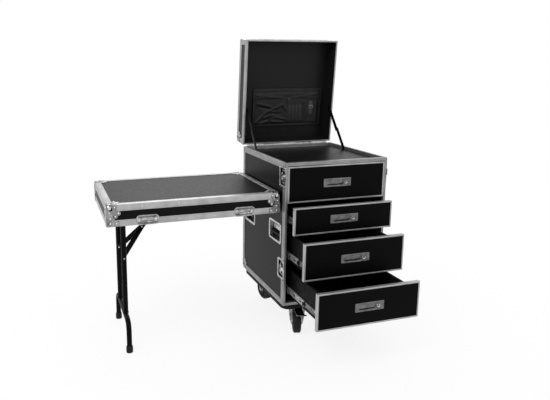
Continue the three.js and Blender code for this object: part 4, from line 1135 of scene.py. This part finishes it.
def drawer_front(name):
    low, high = span(name + "_drawer_front")
    y = span(name + "_drawer_box")[0].y - front_depth
    z0, z1 = low.z, high.z
    middle = (z0 + z1) / 2
    piece = bmesh.new()
    well = (-56, middle - 13, 32, middle + 13)
    hole_half = button_bore - 0.1
    button_hole = (button_x - hole_half, middle - hole_half, button_x + hole_half, middle + hole_half)
    board = holed_plate((1.5 - front_half, z0 + 1.5), (front_half - 1.5, z1 - 1.5), [well, button_hole], 16)
    join(piece, board, front_face(y + 1.6))

    def trim(edge, step):
        """The frame's section as (across, depth), from the front's edge inwards."""
        section = [(0, 18), (0, 0.9), (0.9, 0), (3.4, 0), (3.7, 0.6), (4.5, 0.6), (4.8, 0), (6.2, 0), (7, 0.8),
                   (7, 2.2), (1.5, 2.2), (1.5, 18)]
        return [(edge + step * across, y + depth) for across, depth in section]

    for near, step in ((z0, 1), (z1, -1)):
        reach = lambda p, near=near: front_half - abs(p.z - near)
        section = [(b, a) for a, b in trim(near, step)]
        join(piece, profile(section, 0, lambda p: -reach(p), reach), None, 1)
    for side in (-1, 1):
        inset = lambda p, side=side: abs(p.x - side * front_half)
        section = trim(side * front_half, -side)
        join(piece, profile(section, 2, lambda p: z0 + inset(p), lambda p: z1 - inset(p)), None, 1)
    # Catch plate with a lined finger well
    plate = holed_plate((-74, middle - 21), (74, middle + 21), [well, button_hole], 2.6)
    # Only true corners are rounded, not the flat seams that the holes leave across the plate
    upright = [e for e in plate.edges if abs(e.verts[0].co.z - e.verts[1].co.z) > 2 and e.calc_face_angle(0) > 0.5]
    soften(plate, upright, 3.5, 3)
    rims = [e for e in plate.edges if e.verts[0].co.z > -0.01 and e.verts[1].co.z > -0.01 and
            len({tuple(round(c, 2) for c in f.normal) for f in e.link_faces}) > 1]
    soften(plate, rims, 0.7)
    join(piece, plate, front_face(y - 0.8), 2)
    lining = [(88, 26, 3.4, 0), (86.4, 24.4, 3.2, -1.2), (84, 22, 4, -11), (80, 18, 4, -12)]
    loops = [[(x - 12, v + middle, z) for x, v in rounded_outline(w, h, r)] for w, h, r, z in lining]
    cup = rings(loops, close_first=False)
    bmesh.ops.solidify(cup, geom=cup.faces[:], thickness=0.8)
    join(piece, cup, front_face(y - 0.9), 2)
    # A folded lip closes the well but for a dark slot along its lower edge, for the fingertips
    join(piece, block((-55, y + 0.8, middle - 7), (31, y + 2.4, middle + 12.4), 0.7), None, 2)
    # The button slides in a bored collar, which covers the corners of its hole
    section = [(button_bore, 1.6), (button_bore, -1.8), (8.8, -2.2), (11.3, -2.2), (12, -1.5), (12, 0.2), (11.6, 1.6)]
    ring = [(button_x + r, y + depth, middle) for r, depth in section]
    join(piece, spun(ring, (button_x, 0, middle), (0, 1, 0), 28), None, 2)
    for x in (-67, 67):
        for up in (-14, 14):
            join(piece, dome_rivet(2.6, 1.1), facing((0, -1, 0), (x, y - 0.7, middle + up)), 2)
    finishes = [front_laminate_painted_shade, aluminium, catch_steel]
    finished(name + "_front", piece, name + "_drawer", finishes, [name + "_drawer_front"])


def push_button(name):
    node = name + "_drawer_latch_knob"
    low, high = span(node)
    z = centre(node).z
    piece = bmesh.new()
    join(piece, rod((button_x, low.y + 1.4, z), (button_x, high.y, z), 7.6, 24))
    # The face is dished for the thumb, which gives it a bright crescent opposite the light
    cap = [(0.6, 2.9), (2.6, 2.7), (4.8, 1.9), (6.4, 0.7), (7.1, 0.0), (7.6, 0.1), (8, 0.8), (8, 4.6), (7.4, 5.2)]
    join(piece, lathe(cap, 24), facing((0, 1, 0), (button_x, low.y, z)), 1)
    finished(name + "_button", piece, node, [catch_steel, nickel], [node])


def middle_slide(name, side_name, side):
    node = name + "_drawer_" + side_name + "_slide"
    low, high = span(node)
    z = (low.z + high.z) / 2
    piece = slide_channel(side, 233.5, 226.5, 15, (low.y, high.y), z)
    # The ball cage closes the front end, and its black stop shows when the drawer is out
    stop = block((side * 227, low.y - 0.5, z - 12), (side * 234, low.y + 16, z + 9), 1.5)
    join(piece, stop, None, 1)
    for i in range(5):
        y = low.y + 60 + 90 * i
        for up in (-1, 1):
            ball = bmesh.new()
            bmesh.ops.create_uvsphere(ball, u_segments=8, v_segments=6, radius=2.2,
                                      matrix=Matrix.Translation((side * 229.5, y, z + up * 12.2)))
            join(piece, ball)
    finished(name + "_" + side_name + "_slide_channel", piece, name + "_drawer_slides",
             [slide_zinc_painted_light, grip_rubber], [node])


for name in drawer_names:
    drawer_box(name)
    drawer_front(name)
    push_button(name)
    middle_slide(name, "left", -1)
    middle_slide(name, "right", 1)
print("drawer faces:", shown_faces["third_box"], shown_faces["third_front"], shown_faces["third_left_slide_channel"])

# %% [markdown]
# ## Lid and cover frames
# The lid and the cover are trays of the same kind: angles round the closed face, channels round the open
# rim, mitred at its corners, and an angle up each corner. Where two angles meet without a ball corner
# they are mitred too, so one helper makes both, in the tray's own coordinates.

# %% Frame of a tray
corner_signs = [(x, y) for x in (-1, 1) for y in (-1, 1)]


def tray_frame(piece, size, balls, rim):
    """The profiles of a tray that stands on its open rim at z = 0. balls lists the closed face's corners
    that have a ball corner, as signs in X and Y. rim is the section of the open rim."""
    half = Vector((size[0] / 2, size[1] / 2, size[2]))

    def inset(point, axis):
        """How far a point lies inside the tray's outer face on an axis."""
        return half[axis] - abs(point[axis])

    def stop(run, others, ball):
        """Where an angle ends: under a ball corner, or at a mitre."""
        return lambda p: half[run] - (under_lobe if ball else max(inset(p, axis) for axis in others))

    for axis, run in ((0, 1), (1, 0)):
        for side in (-1, 1):
            wall = side * half[axis]
            ends = [((end, side) if axis else (side, end)) in balls for end in (-1, 1)]
            first, last = (stop(run, (axis, 2), ball) for ball in ends)
            section = fit(angle_section(), wall, -side, half.z, -1)
            join(piece, profile(section, run, lambda p: -first(p), last))
            reach = lambda p: half[run] - inset(p, axis)
            section = fit(rim, wall, -side, 0, 1)
            join(piece, profile(section, run, lambda p: -reach(p), reach))
            out, spots = Vector(), []
            out[axis] = side
            for direction, depth, z in ((out, 0, half.z - rivet_line), (out, 0, rivet_line),
                                        (Vector((0, 0, 1)), rivet_line, half.z)):
                spots.append((direction, out * (half[axis] - depth) + Vector((0, 0, z))))
            rivet_row(piece, run, half[run] - 75, spots)
    for side, other in corner_signs:
        ball = (side, other) in balls
        section = fit(angle_section(), side * half.x, -side, other * half.y, -other)
        join(piece, profile(section, 2, flange, stop(2, (0, 1), ball)))
        if ball:
            ball_corner(piece, (side * half.x, other * half.y, half.z), (-side, -other, -1))


# %% [markdown]
# At each corner of the cover's open rim the channels are tied by a small plate with three rivets on each
# of the two faces. The latches' keepers are shallow dishes let into the cover's long sides.

# %% Corner plates and keepers
def rim_corner_plate(piece, half, side, other):
    """An L-shaped plate on each outer face of an open rim's corner."""
    spread = [(1, 1), (57, 1), (57, 26), (40, 28), (36, 34), (35, 47), (30, 51), (1, 51)]
    for inwards, outwards in (((-side, 0, 0), (0, other, 0)), ((0, -other, 0), (side, 0, 0))):
        plate = outline_plate(spread, 0.9)
        upright = [e for e in plate.edges if abs(e.verts[0].co.z - e.verts[1].co.z) > 0.5]
        soften(plate, upright, 2.0)
        # The plate's own X runs inwards along the rim and its Y up the corner
        turn = Matrix((inwards, (0, 0, 1), outwards)).transposed().to_4x4()
        place = Matrix.Translation((side * half.x, other * half.y, 0)) @ turn
        join(piece, plate, place, in_steel)
        for x, y in ((17, 14), (44, 14), (18, 37)):
            join(piece, dome_rivet(3.8, 1.5), place @ Matrix.Translation((x, y, 0.8)), in_nickel)


def keeper(piece, x, face, step, rim_slot, painted_shade_slot):
    """A latch keeper on a long side: a rounded rim round a shallow well with a hooked bar across it."""
    turn = Matrix(((-step, 0, 0, 0), (0, 0, step, 0), (0, 1, 0, 0), (0, 0, 0, 1)))
    place = Matrix.Translation((x, face, 22)) @ turn
    rim = [(104, 46, 17, -1), (104, 46, 17, 1.4), (102.6, 44.6, 16.3, 2.4), (93, 35, 12, 2.3), (92, 34, 11.5, 0.7)]
    loops = [[(a, b, z) for a, b in rounded_outline(w, h, r, 6)] for w, h, r, z in rim]
    join(piece, rings(loops), place, rim_slot)
    # The well's floor is a darker steel, which is painted shade
    floor = outline_plate(rounded_outline(92, 34, 11.5, 6), 0.25)
    join(piece, floor, place @ Matrix.Translation((0, 0, 0.6)), painted_shade_slot)
    join(piece, block((-27, -3, 0.6), (27, 10, 3.0), 1.2), place, rim_slot)
    join(piece, block((-27, -12.5, 0.6), (27, -6, 1.6), 0.6), place, rim_slot)
    for x_boss in (-38, 38):
        join(piece, rod((x_boss, 0, 0.7), (x_boss, 0, 2.1), 11, 20, 0.6), place, rim_slot)
        join(piece, dome_rivet(3.6, 1.2), place @ Matrix.Translation((x_boss, 0, 2.0)), in_nickel)


# %% Lid frame, hinge and stays
lid_open = 85.2
hinge_line = Vector((0, 587, case_top))
lid_place = Matrix.Translation(hinge_line) @ Matrix.Rotation(radians(-lid_open), 4, "X")
lid_size = (2 * case_half, case_depth, 112)


def lid_frame():
    piece = bmesh.new()
    tray_frame(piece, lid_size, [(-1, 1), (1, 1)], slim_rim_section())
    # The hinge line runs 7 mm behind the lid and a little below its rim
    middle = Vector((0, case_depth / 2 - hinge_line.y, 0.3))
    finished("lid_frame", piece, "lid", [lid_aluminium_painted_shade, zinc, nickel], ["lid_edge_frame"],
             lid_place @ Matrix.Translation(middle))


def hinge_leaf(first, up, name, body, node, place):
    """One leaf of the hinge: a strip with eight screws, and every other knuckle from the first on."""
    piece = bmesh.new()
    length, knuckles, radius, screws = 500, 5, 5.2, 8
    pitch = length / knuckles
    leaf = block((-length / 2, -6.7, up * 6.2), (length / 2, -5, up * 35.2), 0.6)
    join(piece, leaf)
    for i in range(first, knuckles, 2):
        start = -length / 2 + i * pitch + 0.5
        join(piece, rod((start, 0, 0), (start + pitch - 1, 0, 0), radius, 20, 0.6))
        join(piece, block((start, -6.7, 0), (start + pitch - 1, -5, up * 8), 0.4))
        join(piece, block((start, -6.7, 0), (start + pitch - 1, 0, up * 1.7), 0.4))
    for i in range(screws):
        x = -length / 2 + length * (i + 0.5) / screws
        join(piece, dome_rivet(3.4, 1.0), facing((0, -1, 0), (x, -6.5, up * 22)), 1)
        join(piece, dome_rivet(3.4, 1.0), facing((0, 1, 0), (x, -5.2, up * 22)), 1)
    if first == 0:
        join(piece, rod((-length / 2, 0, 0), (length / 2, 0, 0), 2, 12))
    finished(name, piece, body, [slide_zinc_painted_light, nickel], [node], place)


def turned(y, z, angle):
    """A place in Y and Z, turned about zero."""
    return Vector((y * cos(angle) - z * sin(angle), y * sin(angle) + z * cos(angle)))


stay_foot = Vector((406, case_top - 8))
stay_head_shut = Vector((382 - hinge_line.y, 8))
stay_head = turned(*stay_head_shut, -radians(lid_open)) + Vector((hinge_line.y, hinge_line.z))
lower_link = 125
knee = stay_foot + (stay_head - stay_foot).normalized() * lower_link


def stay_link(side_name, side, level, start, end, x_in, x_out, heads, proud):
    """A flat link with round ends and a rib pressed along it. heads are places of its rivets, whose ends
    stand as far out of its inner face as proud says."""
    piece = bmesh.new()
    run, thick = (end - start).length, (x_out - x_in) * 0.94
    link = outline_plate(link_outline(run, 21), thick)
    soften(link, level_edges(link), 0.5)
    place = bar_place(start, end, min(side * x_in, side * x_out))
    join(piece, link, place)
    # The rib stands on the outer face of both sides' links
    low, high = (-0.3, 3.5) if side < 0 else (0.4, thick + 0.3)
    join(piece, block((16, -3, low), (run - 16, 3, high), 0.9), place)
    for spot in heads:
        join(piece, rod((side * (x_in - proud), *spot), (side * (x_out - 0.1), *spot), 5, 20, 0.8))
    node = side_name + "_" + level + "_lid_stay"
    finished(side_name + "_" + level + "_stay", piece, node, [powder_coat], [node])


lid_frame()
hinge_leaf(0, -1, "hinge_body_leaf", "case", "lid_hinge_body_leaf", Matrix.Translation(hinge_line))
hinge_leaf(1, 1, "hinge_lid_leaf", "lid", "lid_hinge_lid_leaf", lid_place)
for side_name, side in (("left", -1), ("right", 1)):
    stay_link(side_name, side, "lower", stay_foot, knee, 259.1, 262.9, [stay_foot], 0.2)
    stay_link(side_name, side, "upper", stay_head, knee, 253.6, 258.8, [stay_head, knee], 1.4)
print("lid frame faces:", shown_faces["lid_frame"])

# %% [markdown]
# ## Cover as a table
# The front cover lies with its open rim down. It has four ball corners, four keepers and the bracket for
# the leg under its panel.

# %% Cover frame and hanging rail
shell_low, shell_high = span("cover_shell")
cover_low = shell_low - Vector((1.8, 1.8, 0))
cover_high = shell_high + Vector((1.8, 1.8, 1.8))
cover_size = cover_high - cover_low
cover_place = Matrix.Translation(((cover_low.x + cover_high.x) / 2, (cover_low.y + cover_high.y) / 2, cover_low.z))


def cover_frame():
    piece = bmesh.new()
    tray_frame(piece, cover_size, corner_signs, rim_section(12))
    half = cover_size / 2
    for end, step in corner_signs:
        rim_corner_plate(piece, half, end, step)
        keeper(piece, end * (half.x - 182), step * half.y, step, rim_slot=3, painted_shade_slot=4)
    finishes = [aluminium, zinc, nickel, keeper_steel, keeper_shade_finish]
    finished("cover_frame", piece, "table", finishes, ["cover_edge_frame"], cover_place)


def hanging_rail():
    low, high = span("table_hanging_rail")
    piece = bmesh.new()
    shelf = low.z
    outer = [(high.x, high.z), (high.x - 2.2, high.z), (high.x - 2.2, shelf + 2.2), (low.x + 2.2, shelf + 2.2),
             (low.x + 2.2, shelf + 16), (low.x, shelf + 16), (low.x, shelf + 1.2), (low.x + 1.2, shelf),
             (high.x - 1.2, shelf), (high.x, shelf + 1.2)]
    join(piece, profile(outer, 1, low.y, high.y))
    for i in range(5):
        y = low.y + (high.y - low.y) * (i + 0.5) / 5
        join(piece, dome_rivet(4, 1.2), facing((-1, 0, 0), (high.x - 2.1, y, high.z - 10)), 1)
    finished("hanging_rail", piece, "case", [zinc, nickel], ["table_hanging_rail"])


keeper_steel = pressed_zinc("nickel_plated_keeper", "#858585", "#c2c2c2", (0.22, 0.36))
# The keeper's well floor takes a darker copy of the keeper's steel, which is painted shade
keeper_shade_finish = pressed_zinc("keeper_floor_painted_shade", "#4c4c4c", "#8a8a8a", (0.3, 0.45))
cover_frame()
hanging_rail()
print("cover frame faces:", shown_faces["cover_frame"])

# %% [markdown]
# ## Folding leg
# The leg is bent from 25 mm steel tube: two uprights under a cross tube, welded to a wide bow with rubber
# feet. It swings in two ears, and a forked brace slides along a guide under the panel. A tube is made
# by bridging rings of points that stand square to its route.

# %% Leg, bracket and brace
def tube(route, radius, sides):
    """A tube along a route of points."""
    route = [Vector(point) for point in route]
    loops = []
    for i, spot in enumerate(route):
        ahead = route[min(i + 1, len(route) - 1)] - route[max(i - 1, 0)]
        turn = ahead.to_track_quat("Z", "X").to_matrix()
        loops.append([spot + turn @ Vector((radius * cos(a), radius * sin(a), 0))
                      for a in (2 * pi * k / sides for k in range(sides))])
    return rings(loops)


pivot_high = 700
leg_pivot = centre("leg_frame")
leg_pivot.z = pivot_high
brace_drop, brace_reach, brace_rise = 260, 245, 282
upright_y, foot_y, bow_top, tube_radius = 97, 192, 150, 12.5


def leg_frame():
    piece = bmesh.new()
    x, y, floor, bend, feet_slot, bolt_slot = leg_pivot.x, leg_pivot.y, 0.3, 46, 1, 2
    route = [(x, y - foot_y, floor + 6)]
    for a in range(7):
        turn = radians(15 * a)
        route.append((x, y - foot_y + bend * (1 - cos(turn)), bow_top - bend + bend * sin(turn)))
    route += [(x, 2 * y - py, pz) for _, py, pz in reversed(route)]
    join(piece, tube(route, tube_radius, 20))
    cross_half = upright_y + 2
    join(piece, rod((x, y - cross_half, pivot_high), (x, y + cross_half, pivot_high), tube_radius - 0.2, 20, 0.5))
    for side in (-1, 1):
        upright = y + side * upright_y
        join(piece, rod((x, upright, bow_top), (x, upright, pivot_high), tube_radius, 20))
        knob = bmesh.new()
        bmesh.ops.create_uvsphere(knob, u_segments=20, v_segments=12, radius=tube_radius,
                                  matrix=Matrix.Translation((x, upright, pivot_high)))
        join(piece, knob)
        # A bead of weld where the upright meets the bow
        bead = [(tube_radius + 0.3, 16), (tube_radius + 2.2, 12.5), (tube_radius + 1.5, 9)]
        join(piece, lathe(bead, 20), Matrix.Translation((x, upright, bow_top)))
        # A rubber foot with three ridges
        foot = Matrix.Translation((x, y + side * foot_y, 0))
        cap = [(15, 0), (16, 1.2), (16, 26), (15.4, 30), (14, 33), (12.6, 34)]
        join(piece, lathe(cap, 24), foot, feet_slot)
        for z in (9, 15, 21):
            join(piece, lathe([(16, z - 1.2), (16.5, z), (16, z + 1.2)], 24), foot, feet_slot)
        head = upright + side * (tube_radius - 0.6)
        brace_high = pivot_high - brace_drop
        join(piece, rod((x, head, brace_high), (x, head + side * 3.2, brace_high), 5, 20, 1.2), None, bolt_slot)
    finished("folding_leg", piece, "leg", [powder_coat, grip_rubber, zinc], ["leg_frame"])


def leg_bracket():
    high = span("leg_bracket")[1]
    x, y, top = leg_pivot.x, leg_pivot.y, high.z
    piece = bmesh.new()
    join(piece, block((x - 35, y - 85, top - 3), (x + 35, y + 85, top), 1.0))
    join(piece, block((x + 30, y - 24, top - 3), (high.x, y + 24, top), 1.0))
    for side in (-1, 1):
        join(piece, block((x + 70, y + side * 21, top - 11), (high.x, y + side * 24, top - 0.5), 1.0))
        ear = y + side * 70
        thick = 4
        plate = outline_plate([(19, 36), (-19, 36)] + arc((0, 0), 17, 180, 360, 10), thick)
        soften(plate, level_edges(plate), 0.7)
        place = Matrix.Translation((x, ear if side > 0 else ear + thick, pivot_high))
        join(piece, plate, place @ Matrix.Rotation(pi / 2, 4, "X"))
        for dx in (-25, 25):
            for dy in (50, 80):
                spot = (x + dx, y + side * dy, top - 2.8)
                join(piece, dome_rivet(5, 2.2), facing((0, 0, -1), spot), 1)
    for i in range(5):
        spot = x + 90 + (high.x - x - 110) * i / 4
        join(piece, dome_rivet(4, 1.8), facing((0, 0, -1), (spot, y, top - 2.8)), 1)
    finished("leg_hanger", piece, "table", [powder_coat, zinc], ["leg_bracket"])


def leg_brace():
    piece = bmesh.new()
    length = hypot(brace_reach, brace_rise)
    fork, close_y, thick, play = 160, 3, 5, 5.8
    arm_y = upright_y - tube_radius - play - thick / 2
    lean = atan2(arm_y - close_y, fork)
    flat = Matrix(((1, 0, 0, 0), (0, 0, -1, 0), (0, 1, 0, 0), (0, 0, 0, 1)))
    for side in (-1, 1):
        arm = outline_plate(link_outline(hypot(arm_y - close_y, fork), 25), thick)
        soften(arm, level_edges(arm), 0.8)
        turn = Matrix.Translation((0, side * arm_y + thick / 2, 0)) @ Matrix.Rotation(-side * lean, 4, "Z")
        join(piece, arm, turn @ flat)
        straight = outline_plate(link_outline(length - fork, 25, 16), thick)
        soften(straight, level_edges(straight), 0.8)
        join(piece, straight, Matrix.Translation((fork, side * close_y + thick / 2, 0)) @ flat)
        join(piece, rod((0, side * arm_y, 0), (0, side * (arm_y + thick / 2 + 5.4), 0), 7.2, 20, 0.6), None, 1)
        join(piece, dome_rivet(4.6, 2.2), facing((0, -side, 0), (0, side * (arm_y - thick / 2), 0)), 2)
    join(piece, rod((fork, -7, 0), (fork, 7, 0), 5, 16, 0.8), None, 1)
    join(piece, block((length - 10, -18, -7), (length + 10, 18, 7), 1.6))
    place = (Matrix.Translation((leg_pivot.x, leg_pivot.y, leg_pivot.z - brace_drop))
             @ Matrix.Rotation(-atan2(brace_rise, brace_reach), 4, "Y"))
    finished("brace", piece, "leg_brace", [powder_coat, zinc, nickel], ["leg_brace"], place)


leg_frame()
leg_bracket()
leg_brace()
print("leg faces:", shown_faces["folding_leg"], shown_faces["brace"])

# %% [markdown]
# ## Tool pocket
# A flat pocket of woven nylon is fixed inside the lid. It has a flap over its top third with a press stud,
# a taped edge, four slim sleeves for pens and drivers, and a strap with a buckle. The cloth is a thin
# pad, made by the usual recipe: a closed slab of small squares, blown up by the cloth solver for a few
# frames so that its edges pucker, with each point's way capped to keep it in its place.

# %% The pocket's cloth
pocket_low_x, pocket_high_x = -190, 242
pocket_near, pocket_far = 90, 309
pocket_back = 101.2
pocket_half = Vector((pocket_high_x - pocket_low_x, pocket_far - pocket_near)) / 2
pocket_middle = Vector(((pocket_low_x + pocket_high_x) / 2, -(pocket_near + pocket_far) / 2, 0))
# The pocket's own X runs across the lid, its Y away from the hinge, and its Z out of the lid
pocket_place = (lid_place @ Matrix.Translation((pocket_middle.x, pocket_middle.y, pocket_back))
                @ Matrix.Diagonal((1, -1, -1, 1)))


def applied(item):
    """The mesh that an object's modifiers give, with the modifiers removed."""
    made = bpy.data.meshes.new_from_object(item.evaluated_get(bpy.context.evaluated_depsgraph_get()))
    item.modifiers.clear()
    item.data = made
    return made


def puffed(low, high, most):
    """A pad of cloth between two corners, with puckered edges, as a bmesh in millimetres. No point moves
    further than most."""
    frames = 20
    slab = block(low, high, 1.2)
    bmesh.ops.scale(slab, vec=(MM, MM, MM), verts=slab.verts)
    mesh = bpy.data.meshes.new("pad")
    slab.to_mesh(mesh)
    slab.free()
    pad = new_object("pad", mesh)
    grid = pad.modifiers.new("grid", "REMESH")
    grid.mode, grid.voxel_size = "VOXEL", 0.005
    before = [vert.co.copy() for vert in applied(pad).vertices]
    cloth = pad.modifiers.new("cloth", "CLOTH")
    cloth.settings.use_pressure = True
    cloth.settings.uniform_pressure_force = 4.0
    cloth.settings.effector_weights.gravity = 0
    cloth.point_cache.frame_end = frames
    for frame_number in range(1, frames + 1):
        bpy.context.scene.frame_set(frame_number)
    applied(pad)
    bpy.context.scene.frame_set(1)
    for vert, place in zip(pad.data.vertices, before):
        way = vert.co - place
        vert.co = place + way * min(1, most * MM / max(way.length, 1e-6))
    smooth = pad.modifiers.new("smooth", "SUBSURF")
    smooth.levels = smooth.render_levels = 1
    shape = bmesh.new()
    shape.from_mesh(applied(pad))
    bmesh.ops.scale(shape, vec=(1 / MM, 1 / MM, 1 / MM), verts=shape.verts)
    bpy.data.objects.remove(pad)
    return shape


def fold(shape, start, end, height):
    """Raises a soft fold on the cloth's front along a line, or sinks one."""
    width = 6
    start, run = Vector(start), Vector(end) - Vector(start)
    middle = sum(vert.co.z for vert in shape.verts) / len(shape.verts)
    for vert in shape.verts:
        if vert.co.z > middle:
            spot = vert.co.xy - start
            nearest = run * min(max(spot.dot(run) / run.length_squared, 0), 1)
            vert.co.z += 0.65 * height * exp(-((spot - nearest).length / width) ** 2)


# %% Tool pocket
def stitch_row(piece, start, end, z):
    """A row of raised stitches, 8 mm from one to the next."""
    run = Vector(end) - Vector(start)
    count = round(run.length / 8)
    along_x = abs(run.x) > abs(run.y)
    for i in range(count):
        x, y = Vector(start) + run * (i + 0.5) / count
        reach = (2.3, 0.5) if along_x else (0.5, 2.3)
        join(piece, block((x - reach[0], y - reach[1], z - 0.4), (x + reach[0], y + reach[1], z + 0.5)), None, 2)


def tool_pocket():
    piece = bmesh.new()
    x, y = pocket_half
    cloth = puffed((3 - x, 3 - y, 0.6), (x - 3, y - 3, 8.5), 4)
    cloth_folds = [
        ((-200, -92), (-140, -30), 6), ((-190, -100), (-128, -80), 4.5), ((-150, -60), (-96, -44), 4),
        ((-124, -24), (-34, 14), 5.5), ((-34, 14), (-8, -14), 5), ((-112, -34), (-44, -38), -4),
        ((-92, -84), (-20, -88), 4), ((104, 20), (112, -90), -5), ((184, 24), (188, -96), 4),
        ((-190, 24), (-110, 6), 4.5), ((-170, 2), (-80, -16), -4), ((-70, -58), (-14, -70), 4),
    ]
    for start, end, height in cloth_folds:
        fold(cloth, start, end, height)
    for vert in cloth.verts:
        vert.co.z = max(vert.co.z, 0.3)
    join(piece, cloth)
    flap = puffed((4 - x, 42, 9.5), (x - 4, y - 4, 13.2), 2.6)
    flap_folds = [
        ((-190, 70), (-34, 52), 3.4), ((-180, 56), (-90, 46), 2.6), ((24, 52), (180, 76), 3.4),
        ((-204, 88), (204, 90), -3), ((-150, 100), (-70, 101), 2), ((110, 100), (190, 101), 2),
        ((90, 48), (170, 56), 2.6), ((-30, 60), (30, 60), -2.4),
    ]
    for start, end, height in flap_folds:
        fold(flap, start, end, height)
    join(piece, flap)
    # The tape round the edge is sewn over the cloth
    for side in (-1, 1):
        join(piece, block((side * x, -y, 0.4), (side * (x - 12), y, 9.4), 2.2, 3), None, 1)
        top = 9.2 if side < 0 else 12.5
        join(piece, block((11 - x, side * y, 0.4), (x - 11, side * (y - 12), top), 2.2, 3), None, 1)
        stitch_row(piece, (side * (x - 6), -y + 6), (side * (x - 6), y - 14), 9.4)
    stitch_row(piece, (12 - x, 6 - y), (x - 12, 6 - y), 9.2)
    stitch_row(piece, (12 - x, y - 6), (x - 12, y - 6), 12.5)
    # Slim sleeves for pens and drivers
    for i in range(4):
        middle = 15 + 22 * i
        sleeve = block((middle - 8.5, -80, 7), (middle + 8.5, 16, 14.6), 3.4, 3)
        join(piece, sleeve, None, 5)
        stitch_row(piece, (middle - 10.8, -78), (middle - 10.8, 14), 11)
    # Strap with its buckle, and the flap's press stud and pull
    join(piece, block((139, -44, 9), (161, 36, 13.6), 1.4), None, 4)
    for low, high in (((136, 3, 11), (164, 11.5, 16.4)), ((136, -9, 11), (164, -5, 16.4)),
                      ((136, -9, 11), (140, 11.5, 16.4)), ((160, -9, 11), (164, 11.5, 16.4))):
        join(piece, block(low, high, 1.4), None, 3)
    join(piece, rod((6, 50, 12), (6, 50, 17), 5, 20, 1.2), None, 4)
    pull = block((-5, -26, 0), (5, 0, 2.4), 0.8)
    join(piece, pull, Matrix.Translation((6, 46, 13)) @ Matrix.Rotation(radians(-8), 4, "Z"), 1)
    finishes = [nylon, webbing, thread, buckle_plastic, strap_web, sleeve_nylon]
    made = finished("tool_pocket_fabric", piece, "lid", finishes, ["tool_pocket"], pocket_place)


thread = woven_nylon("sewing_thread", "#333333", 1.0)
strap_web = woven_nylon("nylon_strap", "#3c3c3c", 2.0)
sleeve_nylon = woven_nylon("elastic_nylon", "#202020", 2.0)
buckle_plastic = moulded_rubber("moulded_buckle_acetal", "#6e6e6e", 3)
tool_pocket()
print("pocket faces:", shown_faces["tool_pocket_fabric"])


# %% Finish
for node, finish in (("back_panel", laminate), ("bottom_panel", plywood), ("worktop", laminate),
                     ("lid_shell", lid_laminate_painted_light), ("cover_shell", laminate)):
    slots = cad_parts[node].data.materials
    slots.clear()
    slots.append(finish)

# %% [markdown]
# ## Faces in the new pieces
# The faces of all the new pieces are added up.

# %% Faces
print("faces in new pieces:", sum(shown_faces.values()))
